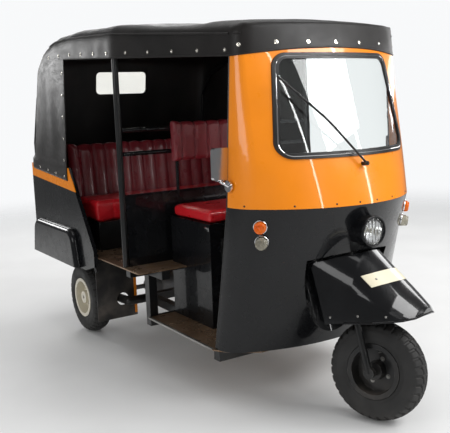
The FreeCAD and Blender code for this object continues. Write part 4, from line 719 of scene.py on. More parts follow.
@dataclass
class Canopy:
    """The cloth canopy, drawn over its bows, with its hem, welts, studs and rear window.

    The cloth is drawn as ribs that rise from its hem to a spine, a line inside the roof
    from the front bow to the back one. Ribs fan out at both ends of the spine.
    """

    spine: float = 1.30
    front: float = -0.722
    back: float = 0.90
    pitch: float = 0.02
    fan: int = 46
    roof_rows: int = 40
    wall_rows: int = 40
    rib_parts: int = 260
    gap_edges: tuple[float, float] = (0.666, 0.077)
    edge_pair: float = 0.0008
    edge_clear: float = 0.008
    eave_turn: float = 34.0
    lowest_turn: float = -50.0
    wall_turn: float = 5.0
    flap_front: float = 1.504
    flap_slope: float = 0.0512
    flap_top: float = 1.575
    wall_half: float = 0.605
    bows: tuple[float, ...] = (-0.70, 0.056, 0.5, 0.8, 1.04)
    sag_share: float = 0.03
    sag_half: float = 0.58
    roof_rise: tuple[float, float] = (0.55, 0.45)
    fold_turns: tuple[float, float, float] = (34.0, 30.0, 1.6)
    fold_top: float = 1.56
    fold_fade: float = 0.3
    fold_depth: float = 0.0021
    tuck_place: tuple[float, float] = (0.56, 1.6)
    tuck_size: tuple[float, float] = (0.14, 0.16)
    tuck_depth: float = 0.003
    foot_fade: float = 0.08
    flap_head: float = 1.62
    flap_ease: float = 0.25
    brow_ease: float = 0.6
    wall_foot: float = 1.012
    cowl_back: float = -0.55
    thickness: float = 0.0028
    window: tuple[float, float, float, float] = (0.179, 1.388, 1.533, 0.03)
    window_gap: float = 0.006
    border_rows: Profile = (
        (-0.004, 0.0008), (-0.003, 0.0032), (0.004, 0.0042), (0.012, 0.0034), (0.015, 0.0022),
        (0.018, 0.0034), (0.03, 0.003), (0.034, 0.0003))
    hem_radius: float = 0.0034
    welt_radius: float = 0.0042
    welt_row: int = 6
    stud: tuple[float, float] = (0.0062, 0.0034)
    stud_in: float = 0.022
    flap_pitch: float = 0.16
    edge_pitch: float = 0.118
    foot_pitch: float = 0.132
    across_pitch: float = 0.14
    band_foot: float = 0.992
    band_pitch: float = 0.0235
    band_rows: int = 25

    def stations(self) -> list[tuple[Vector, Vector]]:
        """Where the cloth's ribs start on the spine, and which way each goes, once round."""
        count = round((self.back - self.front) / self.pitch)
        places = sorted({self.front + (self.back - self.front) * i / count for i in range(count + 1)})
        turns = [math.pi * i / self.fan for i in range(1, self.fan)]
        tail, head = Vector((0, self.back, self.spine)), Vector((0, self.front, self.spine))
        ribs = [(Vector((0, y, self.spine)), -LEFT) for y in self._with_edge(places, self.gap_edges[0])]
        ribs += [(tail.copy(), Vector((-math.cos(turn), math.sin(turn), 0))) for turn in turns]
        ribs += [(Vector((0, y, self.spine)), LEFT.copy())
                 for y in reversed(self._with_edge(places, self.gap_edges[1]))]
        ribs += [(head.copy(), Vector((math.cos(turn), -math.sin(turn), 0))) for turn in turns]
        return ribs

    def _with_edge(self, places: list[float], edge: float) -> list[float]:
        """The places with a close pair at a cut edge."""
        kept = [y for y in places if abs(y - edge) > self.edge_clear]
        return sorted([*kept, edge - self.edge_pair, edge + self.edge_pair])

    def rib(self, skin: BVHTree, start: Vector, way: Vector) -> tuple[list[Vector], int]:
        """The line of one rib from its hem to the spine.

        Args:
            skin: the canopy's CAD surface.
            start: the rib's place on the spine.
            way: its level direction.

        Returns:
            The points from the hem up, and how many of them are below the eave.
        """
        def at(angle: float) -> Vector | None:
            """The skin's place at an angle above level, if there is one."""
            ray = way * math.cos(angle) + UP * math.sin(angle)
            return skin.ray_cast(start + ray * 2.0, -ray, 1.9)[0]

        low = math.radians(self.eave_turn)
        step = math.radians(0.5)
        while low > math.radians(self.lowest_turn) and at(low - step) is not None:
            low -= step
        miss = low - step
        for _ in range(9):
            middle = (low + miss) / 2
            if at(middle) is None:
                miss = middle
            else:
                low = middle
        split = low
        if low < math.radians(self.wall_turn):
            eave = min(self.flap_front + (start.y - self.front) * self.flap_slope, self.flap_top)
            split = math.atan2(eave - self.spine, self.wall_half)
        top = math.pi / 2
        angles = [low + (top - low) * i / self.rib_parts for i in range(self.rib_parts + 1)]
        line = [(angle, spot) for angle in sorted({*angles, split}) if (spot := at(angle)) is not None]
        return [spot for _, spot in line], len([1 for angle, _ in line if angle < split - 1e-9])

    @staticmethod
    def spread(line: Sequence[Vector], count: int) -> list[Vector]:
        """The line divided evenly into a number of points."""
        runs = [0.0]
        for i in range(len(line) - 1):
            runs.append(runs[-1] + (line[i + 1] - line[i]).length)
        spots = []
        for i in range(count):
            want = runs[-1] * i / (count - 1)
            k = min(max(bisect_right(runs, want) - 1, 0), len(line) - 2)
            gap = runs[k + 1] - runs[k]
            share = (want - runs[k]) / gap if gap > 1e-9 else 0.0
            spots.append(line[k].lerp(line[k + 1], min(share, 1.0)))
        return spots

    def _sag(self, spot: Vector) -> float:
        """How deep the cloth hangs between two bows, less towards the eaves."""
        for first, second in zip(self.bows, self.bows[1:]):
            if first < spot.y < second:
                share = (spot.y - first) / (second - first)
                depth = self.sag_share * (second - first)
                return depth * math.sin(math.pi * share) ** 2 * max(0.0, 1 - (abs(spot.x) / self.sag_half) ** 4)
        return 0.0

    def _fold(self, spot: Vector, broad: float) -> float:
        """How deep the walls' upright folds are at a place."""
        back, aside, bend = self.fold_turns
        share = max(0.0, min(1.0, (self.fold_top - spot.z) / self.fold_fade))
        return math.sin(spot.y * back + spot.x * aside + bend * broad) * self.fold_depth * share

    def _tuck(self, spot: Vector) -> float:
        """How deep the short creases along the eave's corner are at a place."""
        aside, height = self.tuck_place
        wide, tall = self.tuck_size
        creases = abs(noise.noise(Vector((spot.x * 9.0 + spot.z * 7.0, spot.y * 9.0 - spot.z * 6.0, 7.0))))
        corner = max(0.0, 1 - abs(abs(spot.x) - aside) / wide) * max(0.0, 1 - abs(spot.z - height) / tall)
        return self.tuck_depth * corner * creases

    def ease(self, spot: Vector, normal: Vector) -> float:
        """How far the cloth lies in from the taut shape at a place."""
        broad = noise.noise(Vector((spot.x * 5.0, spot.y * 3.2, spot.z * 4.0)))
        small = noise.noise(Vector((spot.x * 16.0, spot.y * 11.0, spot.z * 5.0 + 3.0)))
        lies = 0.0012 + 0.0006 * broad + 0.0003 * small
        if spot.z < self.wall_foot:
            return lies
        free = min(1.0, (spot.z - self.wall_foot) / self.foot_fade)
        if spot.y < self.cowl_back:
            free *= self.flap_ease if spot.z < self.flap_head else self.brow_ease
        level = max(0.0, (normal.z - self.roof_rise[0]) / self.roof_rise[1])
        uneven = 0.0008 + 0.0018 * broad + 0.0009 * small
        moved = self._sag(spot) * level + uneven + self._fold(spot, broad) * (1.0 - level) + self._tuck(spot)
        return lies + free * moved

    @staticmethod
    def run(line: Sequence[Vector]) -> float:
        """The length along a line of points."""
        return sum((second - first).length for first, second in zip(line, line[1:]))

    def cloth(self) -> tuple[bpy.types.Object, list[Vector], list[list[Vector]], tuple[float, float]]:
        """Builds the sheet.

        Returns:
            The sheet, its hem's line, its welt's line on each side, and its girth and length laid flat.
        """
        skin = skin_of("canopy", "rear_window")
        ribs = [(way, *self.rib(skin, start, way)) for start, way in self.stations()]
        count = len(ribs)
        roof = [self.spread(line[cut:], self.roof_rows) for _, line, cut in ribs]
        walls = [self.spread(line[:cut + 1], self.wall_rows) if cut > 4 else None for _, line, cut in ribs]
        stock = Stock()
        stock.take(bridge([*roof, roof[0]], False))
        for i in range(count):
            k = (i + 1) % count
            if walls[i] and walls[k]:
                stock.take(bridge([walls[i], walls[k]], False))
        sheet = stock.piece("canopy_sheet")
        self._shape(sheet)
        hem: list[Vector] = []
        for i in range(count + 1):
            here, last = walls[i % count], walls[(i - 1) % count]
            if hem and bool(here) != bool(last):
                hem += list(reversed(here)) if here else last
            hem.append((here or roof[i % count])[0])
        sides = {"left": LEFT, "right": -LEFT, "back": BACK, "front": -BACK}
        welts = [[roof[i][self.welt_row] for i in range(count) if ribs[i][0].dot(sides[side]) > 0.99]
                 for side in ("left", "right")]
        reach = {side: max(self.run(line) for sense, line, _ in ribs if sense.dot(way) > 0.999)
                 for side, way in sides.items()}
        length = reach["front"] + self.back - self.front + reach["back"]
        return sheet, hem, welts, (reach["left"] + reach["right"], length)

    def _shape(self, sheet: bpy.types.Object) -> None:
        """Cuts the window, softens the corners, and lets the cloth lie in its folds."""
        half, low, high, _ = self.window
        gap = self.window_gap
        work = bmesh.new()
        work.from_mesh(sheet.data)
        bmesh.ops.remove_doubles(work, verts=work.verts, dist=0.0006)
        doomed = [face for face in work.faces if (spot := face.calc_center_median()).y > 1.1
                  and abs(spot.x) < half + gap and low - gap < spot.z < high + gap]
        bmesh.ops.delete(work, geom=doomed, context="FACES")
        bmesh.ops.recalc_face_normals(work, faces=work.faces)
        inner = [vertex for vertex in work.verts if not vertex.is_boundary and vertex.co.z > 1.02
                 and (vertex.co.y > -0.6 or vertex.co.z > 1.63)]
        for _ in range(3):
            bmesh.ops.smooth_vert(work, verts=inner, factor=0.5, use_axis_x=True, use_axis_y=True,
                                  use_axis_z=True)
        work.normal_update()
        middle = Vector((0, 0.3, 1.2))
        facing = sum((face.calc_center_median() - middle).dot(face.normal) for face in work.faces)
        if facing < 0:
            bmesh.ops.reverse_faces(work, faces=work.faces)
            work.normal_update()
        for vertex, normal in [(vertex, vertex.normal.copy()) for vertex in work.verts]:
            vertex.co -= normal * self.ease(vertex.co, normal)
        work.to_mesh(sheet.data)
        work.free()

    def _stud_spots(self) -> list[tuple[Vector, Vector]]:
        """Places beside the studs, and the way to the cloth from each."""
        spots: list[tuple[Vector, Vector]] = []
        for sign, near in zip((-1, 1), self.gap_edges):
            inwards, aside = -LEFT * sign, sign * 1.2
            for i in range(11):
                y = -0.70 + self.flap_pitch * i
                z = self.flap_front + (y - self.front) * self.flap_slope + self.stud_in
                spots.append((Vector((aside, y, min(z, self.flap_top + 0.023))), inwards))
            for i in range(5):
                spots.append((Vector((aside, near + 0.028, 1.50 - self.edge_pitch * i)), inwards))
            y = near + 0.03
            while y < 1.2:
                z = 0.915 + max(0.0, (y - 0.652) / 0.61) * 0.045
                spots.append((Vector((aside, y, z + self.stud_in)), inwards))
                y += self.foot_pitch
        for i in range(7):
            z = 1.551 - 0.0001 * abs(3 - i) ** 4
            spots.append((Vector((-0.42 + self.across_pitch * i, -1.4, z)), BACK))
        for i in range(8):
            spots.append((Vector((-0.49 + self.across_pitch * i, 1.6, 0.985)), -BACK))
        return spots

    def studs(self, sheet: BVHTree) -> Stock:
        """The press studs along the flaps, the walls' edges and the hems."""
        stock = Stock()
        washer = [(0.0086, -0.0004), (0.0088, 0.0007), (0.0062, 0.0012)]
        for start, way in self._stud_spots():
            found = touch(sheet, start, way, 1.4)
            if found:
                stock.dome(*found, *self.stud)
                stock.take(turned(washer, *found, 16))
        return stock

    def border(self, skin: BVHTree) -> Stock:
        """The bound border that holds the clear rear window in the cloth."""
        half, low, high, corner = self.window
        corners = [(-half, low), (half, low), (half, high), (-half, high)]
        rows = []
        for grow, proud in self.border_rows:
            row = []
            for x, z in rounded_loop(corners, corner, grow):
                found = touch(skin, Vector((x, 1.8, z)), -BACK)
                row.append(found[0] + BACK * proud if found else Vector((x, 1.22, z)))
            rows.append(row)
        stock = Stock()
        stock.take(bridge(rows, True))
        return stock

    def curtain_band(self, skin: BVHTree) -> Stock:
        """The band that closes the slit between the left wall's front edge and its post."""
        fold = ((0.0004, 0.0955), (0.0026, 0.093), (0.0026, 0.063), (0.001, 0.058), (-0.0012, 0.0565),
                (-0.0016, 0.062))
        rows = []
        for number in range(self.band_rows):
            z = self.band_foot + self.band_pitch * number
            found = touch(skin, Vector((1.2, 0.085, z)), -LEFT)
            x = found[0].x if found else 0.6
            wave = 0.0008 * math.sin(number * 1.1)
            rows.append([Vector((x + out + wave, y, z)) for out, y in fold] + [Vector((x - 0.0006, 0.078, z))])
        stock = Stock()
        stock.take(bridge(rows, True, True))
        return stock

    def dress(self, shop: Workshop) -> None:
        """Builds the canopy's pieces and fits them."""
        sheet, hem, welts, flat = self.cloth()
        solid = sheet.modifiers.new("thickness", "SOLIDIFY")
        solid.thickness = self.thickness
        solid.offset = -1.0
        baked(sheet)
        shop.fit(sheet, "body", CLOTH, ("canopy",), crease=60.0)
        skin = skin_of("canopy", "rear_window")
        cloth = BVHTree.FromPolygons([vertex.co.copy() for vertex in sheet.data.vertices],
                                     [tuple(face.vertices) for face in sheet.data.polygons])
        trim, welt = Stock(), Stock()
        trim.bar(self._settled(hem), self.hem_radius, 8, closed=True)
        for line in welts:
            welt.bar(self._settled(line), self.welt_radius, 8)
        shop.fit(trim.piece("canopy_hem"), "body", CLOTH)
        shop.fit(welt.piece("canopy_welts"), "body", CLOTH)
        shop.fit(self.studs(cloth).piece("canopy_studs"), "body", NICKEL)
        shop.fit(self.border(skin).piece("window_border"), "body", CLOTH)
        shop.fit(self.curtain_band(skin).piece("curtain_band"), "body", CLOTH)
        shop.dress(CLEAR_SHEET, "rear_window")

    @staticmethod
    def _settled(line: list[Vector]) -> list[Vector]:
        """A line on the taut shape, moved in with the cloth and thinned of close points."""
        kept: list[Vector] = []
        for spot in line:
            away = Vector((spot.x, 0, 0)) if abs(spot.x) > 0.45 else Vector((0, spot.y, 0))
            moved = spot - away.normalized() * 0.003
            if not kept or (moved - kept[-1]).length > 0.004:
                kept.append(moved)
        return kept


@dataclass
class Seat:
    """A padded seat piece, swollen under its cover and sewn in channels where it has them."""

    node: str
    finish: Finish
    slot: str
    voxel: float = 0.008
    shrink: float = 0.006
    rounds: int = 4
    pressure: float = 4.0
    frames: int = 20
    cap: float = 0.014
    pitch: float = 0.08
    depth: float = 0.009
    seam_end: float = 0.03
    ripple: float = 0.0014
    margin: float = 0.0004
    faces: tuple[Vector, ...] = (-BACK, UP)
    fill: float = 0.75

    def build(self) -> bpy.types.Object:
        """Makes the pad's mesh from the CAD solid's shape."""
        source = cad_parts[self.node]
        made = bpy.data.objects.new("%s_pad" % self.node, source.data.copy())
        bpy.context.scene.collection.objects.link(made)
        shape = made.modifiers.new("even", "REMESH")
        shape.mode = "VOXEL"
        shape.voxel_size = self.voxel
        baked(made)
        work = bmesh.new()
        work.from_mesh(made.data)
        for vertex, normal in [(vertex, vertex.normal.copy()) for vertex in work.verts]:
            vertex.co -= normal * self.shrink
        for _ in range(self.rounds):
            bmesh.ops.smooth_vert(work, verts=work.verts, factor=0.5, use_axis_x=True, use_axis_y=True,
                                  use_axis_z=True)
        work.to_mesh(made.data)
        work.free()
        self._swell(made)
        finer = made.modifiers.new("finer", "SUBSURF")
        finer.levels = 1
        finer.render_levels = 1
        baked(made)
        self._sew(made)
        return made

    def _swell(self, made: bpy.types.Object) -> None:
        """Swells the pad with cloth pressure, and keeps it in its place."""
        before = [vertex.co.copy() for vertex in made.data.vertices]
        cloth = made.modifiers.new("cover", "CLOTH")
        cloth.settings.use_pressure = True
        cloth.settings.uniform_pressure_force = self.pressure
        cloth.settings.quality = 5
        cloth.settings.mass = 0.3
        cloth.settings.tension_stiffness = 18.0
        cloth.settings.compression_stiffness = 18.0
        cloth.settings.bending_stiffness = 0.8
        cloth.settings.effector_weights.gravity = 0.0
        cloth.collision_settings.use_collision = False
        scene = bpy.context.scene
        for number in range(1, self.frames + 1):
            scene.frame_set(number)
        baked(made)
        scene.frame_set(1)
        for vertex, old in zip(made.data.vertices, before):
            move = vertex.co - old
            if move.length > self.cap:
                vertex.co = old + move.normalized() * self.cap

    def _sew(self, made: bpy.types.Object) -> None:
        """Pulls the channels' seams in, and keeps the pad within its solid's space."""
        low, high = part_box(self.node)
        work = bmesh.new()
        work.from_mesh(made.data)
        work.normal_update()
        middle = (low.x + high.x) / 2
        for vertex, normal in [(vertex, vertex.normal.copy()) for vertex in work.verts]:
            facing = max(normal.dot(face) for face in self.faces)
            share = max(0.0, min(1.0, (facing - 0.15) / 0.4))
            if self.depth and share:
                across = (vertex.co.x - middle) / self.pitch
                off = min(2 * abs(across - round(across)), 0.992)
                fade = max(0.0, min(1.0, (high.x - middle - abs(vertex.co.x - middle)) / self.seam_end))
                vertex.co -= normal * self.depth * share * (1 - math.sqrt(1 - off * off)) * fade
            vertex.co += normal * (noise.noise(vertex.co * 9.0) * self.ripple)
            for axis in range(3):
                vertex.co[axis] = min(max(vertex.co[axis], low[axis] + self.margin), high[axis] - self.margin)
        work.to_mesh(made.data)
        work.free()

    def dress(self, shop: Workshop) -> None:
        """Builds the pad and fits it."""
        made = self.build()
        shop.fit(made, "body", self.finish, (self.node,), crease=70.0)


@dataclass
class Tyre:
    """A tyre with a chunky block tread: zigzag grooves along it, and lugs on its shoulders."""

    name: str
    node: str
    body: str
    centre: Vector
    axis: Vector
    crown: float = 0.208
    tread_half: float = 0.048
    tread_parts: int = 40
    drop: float = 0.018
    blocks: int = 34
    steps: int = 10
    cut: float = 0.0062
    shoulder: float = 0.026
    middle_zig: float = 0.0035
    middle_half: float = 0.0021
    side_groove: float = 0.0225
    side_zig: float = 0.003
    side_half: float = 0.0024
    lug_gap: float = 0.29
    sipe_gap: float = 0.19
    sipe_shift: float = 0.35
    sipe_depth: float = 0.75
    wall: Profile = (
        (0.0485, 0.1146), (0.0515, 0.1165), (0.0532, 0.1225), (0.0538, 0.128), (0.0549, 0.1295),
        (0.0555, 0.139), (0.0559, 0.150), (0.0557, 0.160), (0.0548, 0.1695), (0.0541, 0.1708),
        (0.0531, 0.1782), (0.0515, 0.1838), (0.0498, 0.1876))
    bore: Profile = ((0.046, 0.1002), (0.0, 0.1), (-0.046, 0.1002))
    lug_foot: float = 0.176

    def radius_at(self, place: float) -> float:
        """The smooth tread's radius at a place across it."""
        return self.crown - self.drop * (place / self.tread_half) ** 2

    def groove(self, place: float, phase: float) -> float:
        """How deep the tread is cut at a place across it and a share of the pattern."""
        zig = 4 * abs(phase - math.floor(phase + 0.5)) - 1
        in_middle = abs(place - self.middle_zig * zig) < self.middle_half
        in_side = abs(abs(place) - self.side_groove - self.side_zig * zig) < self.side_half
        if in_middle or in_side:
            return self.cut
        share = phase - math.floor(phase)
        if abs(place) > self.shoulder:
            shift = 0.5 if place > 0 else 0.0
            return self.cut if (share + shift) % 1.0 < self.lug_gap else 0.0
        return self.cut * self.sipe_depth if (share + self.sipe_shift) % 1.0 < self.sipe_gap else 0.0

    def build(self) -> bpy.types.Object:
        """Makes the tyre's mesh."""
        treads = [self.tread_half * (2 * i / self.tread_parts - 1) for i in range(self.tread_parts + 1)]
        across = [(-place, radius, False) for place, radius in self.wall]
        across += [(place, self.radius_at(place), True) for place in treads]
        across += [(place, radius, False) for place, radius in (*reversed(self.wall), *self.bore)]
        axis = self.axis.normalized()
        side = axis.orthogonal().normalized()
        other = axis.cross(side)
        total = self.blocks * self.steps
        rows = []
        for step in range(total):
            angle = 2 * math.pi * step / total
            out = side * math.cos(angle) + other * math.sin(angle)
            phase = step / self.steps
            row = []
            for place, radius, tread in across:
                less = self.groove(place, phase) if tread else 0.0
                if not tread and radius > self.lug_foot:
                    less = 0.6 * self.groove(math.copysign(0.04, place), phase)
                row.append(self.centre + axis * place + out * (radius - less))
            rows.append(row)
        rows.append(rows[0])
        stock = Stock()
        stock.take(bridge(rows, True))
        return stock.piece(self.name)

    def dress(self, shop: Workshop) -> None:
        """Builds the tyre and fits it."""
        shop.fit(self.build(), self.body, TYRE_RUBBER, (self.node,), crease=38.0)


@dataclass
class WheelTrim:
    """The nuts and the valve of a wheel."""

    node: str
    body: str
    centre: Vector
    axis: Vector
    finish: Finish
    circle: float = 0.052
    nuts: int = 4
    nut_radius: float = 0.0062
    first_nut: float = 0.4
    valve_circle: float = 0.078
    valve_turn: float = 2.2
    valve: Profile = ((0.004, -0.001), (0.004, 0.012), (0.0032, 0.0125), (0.0032, 0.02), (0.002, 0.0215))

    def dress(self, shop: Workshop) -> None:
        """Dresses the wheel, and fits its nuts and valve."""
        shop.dress(self.finish, self.node)
        skin = skin_of(self.node)
        axis = self.axis.normalized()
        side = axis.orthogonal().normalized()
        start = self.centre + axis * 0.2
        stock = Stock()
        for number in range(self.nuts):
            out = Quaternion(axis, 2 * math.pi * number / self.nuts + self.first_nut) @ side
            found = touch(skin, start + out * self.circle, -axis, 0.3)
            if found:
                stock.bolt(found[0], axis, self.nut_radius)
        out = Quaternion(axis, self.valve_turn) @ side
        found = touch(skin, start + out * self.valve_circle, -axis, 0.3)
        if found:
            stock.take(turned(self.valve, found[0], axis, 12))
        shop.fit(stock.piece("%s_nuts" % self.node), self.body, ZINC)


@dataclass
class Nose:
    """The cowl with its windscreen rubber, wiper and lamps."""

    screen_low: float = 1.090
    screen_high: float = 1.508
    low_half: float = 0.356
    high_half: float = 0.306
    corner: float = 0.062
    strip: Profile = (
        (-0.0145, -0.0006), (-0.0142, 0.0012), (-0.0125, 0.0021), (-0.0105, 0.0012), (-0.0102, -0.0006))
    lamp: Vector = field(default_factory=lambda: Vector((0.0, -1.080, 0.785)))
    headlamp_ring: tuple[float, float, float, float] = (0.0608, 0.0005, 0.0042, 0.0052)
    bowl_foot: tuple[float, float] = (0.006, -0.052)
    bowl_rise: tuple[float, float] = (0.0405, 0.046)
    bowl_parts: int = 12
    bowl_lip: Profile = ((0.0475, -0.0055), (0.0475, -0.0075))
    bowl_wall: float = 0.001
    bulb: Profile = (
        (0.002, -0.05), (0.0075, -0.046), (0.0075, -0.034), (0.009, -0.026), (0.0075, -0.017), (0.003, -0.0125))
    lens_rings: tuple[float, ...] = (0.0195, 0.0145, 0.0095)
    lens_ring: tuple[float, float] = (0.0013, 0.0016)
    lens_boss: tuple[float, float] = (0.0055, 0.0038)
    rim_ring: tuple[float, float, float, float] = (0.0272, 0.002, 0.003, 0.0042)
    rim_screws: tuple[float, ...] = (0.6, 0.6 + math.pi)
    rim_screw: tuple[float, float] = (0.0026, 0.0014)
    wiper_foot: tuple[float, float, float] = (0.014, 0.012, 0.013)
    wiper_end: float = 0.004
    wiper_nut: float = 0.0055
    claws: tuple[float, ...] = (0.42, 0.55, 0.68, 0.8, 0.92)
    claw_half: float = 0.009
    claw_radius: float = 0.0028
    claw_proud: tuple[float, float] = (0.0015, 0.005)
    bead_radius: float = 0.0052
    seam_centre: Vector = field(default_factory=lambda: Vector((0.0, -0.72, 0.908)))
    seam_turns: tuple[float, ...] = (-78, -52, -26, -8, 8, 26, 52, 78)
    seam_screw: tuple[float, float] = (0.0042, 0.0018)
    edge: Spots = (
        (0.262, 0.472, -0.5978), (0.560, 0.470, -0.658), (0.896, 0.470, -0.722), (1.090, 0.459, -0.722),
        (1.500, 0.436, -0.722))

    def band(self, rows: Sequence[tuple[float, float]], skin: BVHTree) -> Stock:
        """A moulding round the windscreen.

        Args:
            rows: pairs of how far out of the outer edge, and how far proud of the rubber's face.
            skin: the rubber's CAD surface.

        Returns:
            The moulding.
        """
        corners = [(-self.low_half, self.screen_low), (self.low_half, self.screen_low),
                   (self.high_half, self.screen_high), (-self.high_half, self.screen_high)]
        lines = []
        for grow, proud in rows:
            line = []
            for x, z in rounded_loop(corners, self.corner, grow, 12):
                found = touch(skin, Vector((x, -2.0, z)), BACK)
                spot = found[0] if found else Vector((x, -0.9, z))
                line.append(spot - BACK * proud)
            lines.append(line)
        stock = Stock()
        stock.take(bridge(lines, True))
        return stock

    def headlamp(self, shop: Workshop) -> None:
        """The headlamp's rim, bowl and bulb."""
        rim, bowl, bulb = Stock(), Stock(), Stock()
        rim.take(turned(beading(*self.headlamp_ring, 14), self.lamp, -BACK, 64, False))
        (start, back), (spread, depth) = self.bowl_foot, self.bowl_rise
        shares = [i / self.bowl_parts for i in range(self.bowl_parts + 1)]
        inside = [(start + spread * share, back + depth * share ** 2) for share in shares]
        outside = [(radius + self.bowl_wall, along - self.bowl_wall) for radius, along in reversed(inside)]
        bowl.take(turned([*inside, *self.bowl_lip, *outside], self.lamp, -BACK, 48, False))
        bulb.take(turned(self.bulb, self.lamp, -BACK, 20))
        shop.fit(rim.piece("headlamp_rim"), "body", BLACK_PAINT)
        shop.fit(bowl.piece("headlamp_bowl"), "body", CHROME)
        shop.fit(bulb.piece("headlamp_bulb"), "body", WHITE_LENS)

    def side_lamps(self, shop: Workshop) -> None:
        """The rings on the side lamps' lenses, and the lamps' rims with their screws."""
        rims = Stock()
        for node, finish, slot in (("indicator_lamps", AMBER_LENS, "amber_lens"),
                                   ("marker_lamps", WHITE_LENS, "white_lens")):
            ribs = Stock()
            skin = skin_of(node)
            for sign in (-1, 1):
                centre, axis = self._side_lamp(node, sign)
                found = touch(skin, centre + axis * 0.1, -axis, 0.2)
                if found:
                    face = found[0] - axis * 0.0004
                    for radius in self.lens_rings:
                        ribs.take(turned(beading(radius, 0.0, *self.lens_ring), face, axis, 32, False))
                    ribs.dome(face, axis, *self.lens_boss, 16)
                rims.take(turned(beading(*self.rim_ring, 10), centre, axis, 36, False))
                for turn in self.rim_screws:
                    out = Quaternion(axis, turn) @ axis.orthogonal().normalized()
                    rims.dome(centre + out * 0.0268 + axis * 0.0045, axis, *self.rim_screw, 10)
            shop.fit(ribs.piece("%s_ribs" % node), "body", finish)
        shop.fit(rims.piece("side_lamp_rims"), "body", CHROME)

    @staticmethod
    def _side_lamp(node: str, sign: int) -> tuple[Vector, Vector]:
        """The foot of a side lamp on the cowl, and the way it faces."""
        spots = [vertex.co.copy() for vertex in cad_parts[node].data.vertices if vertex.co.x * sign > 0]
        middle = sum(spots, Vector()) / len(spots)
        foot, normal, _, _ = skin_of("cowl_lower").find_nearest(middle)
        if normal.dot(middle) < 0 or normal.x * sign < 0:
            normal = -normal
        return foot, normal.normalized()

    def wiper(self, shop: Workshop) -> None:
        """The wiper's claws, and the nut at its foot."""
        skin = skin_of("wiper")
        low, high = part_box("wiper")
        aside, ahead, above = self.wiper_foot
        root = Vector((high.x - aside, low.y + ahead, low.z + above))
        tip = Vector((low.x + self.wiper_end, high.y - self.wiper_end, high.z - self.wiper_end))
        along = (tip - root).normalized() * self.claw_half
        end, middle = self.claw_proud
        stock = Stock()
        for share in self.claws:
            spot = root.lerp(tip, share)
            found = touch(skin, Vector((spot.x, -2.0, spot.z)), BACK)
            if found:
                seat = found[0]
                stock.bar([seat - along - BACK * end, seat - BACK * middle, seat + along - BACK * end],
                          self.claw_radius, 8)
        found = touch(skin, Vector((root.x, -2.0, root.z)), BACK)
        if found:
            stock.bolt(found[0], -BACK, self.wiper_nut)
        shop.fit(stock.piece("wiper_claws"), "body", FRAME_PAINT)

    def edges(self, shop: Workshop) -> None:
        """The rubber beads on the cowl's rear edges, and the screws along its seam."""
        beads, screws = Stock(), Stock()
        for sign in (-1, 1):
            path = [Vector((sign * (half - 0.003), rear + 0.0012, height)) for height, half, rear in self.edge]
            beads.bar(path, self.bead_radius, 10)
        shop.fit(beads.piece("cowl_beads"), "body", RUBBER)
        skin = skin_of("cowl_upper")
        for turn in self.seam_turns:
            out = Vector((math.sin(math.radians(turn)), -math.cos(math.radians(turn)), 0.0))
            screws.screw(skin, self.seam_centre + out * 1.5, -out, self.seam_screw, 12, 1.5)
        shop.fit(screws.piece("cowl_screws"), "body", FRAME_PAINT)

    def dress(self, shop: Workshop) -> None:
        """Dresses the nose, and fits its trim."""
        shop.dress(ORANGE_PAINT, "cowl_upper")
        shop.dress(BLACK_PAINT, "cowl_lower", "headlamp_shell")
        shop.dress(GLASS, "windscreen_glass")
        shop.dress(LAMP_GLASS, "headlamp_lens")
        shop.dress(AMBER_LENS, "indicator_lamps")
        shop.dress(WHITE_LENS, "marker_lamps")
        shop.dress(FRAME_PAINT, "wiper")
        shop.dress(RUBBER, "windscreen_seal")
        shop.dress(CHROME, "mirrors")
        strip = self.band(self.strip, skin_of("windscreen_seal"))
        shop.fit(strip.piece("screen_filler_strip"), "body", CHROME)
        self.headlamp(shop)
        self.side_lamps(shop)
        self.wiper(shop)
        self.edges(shop)


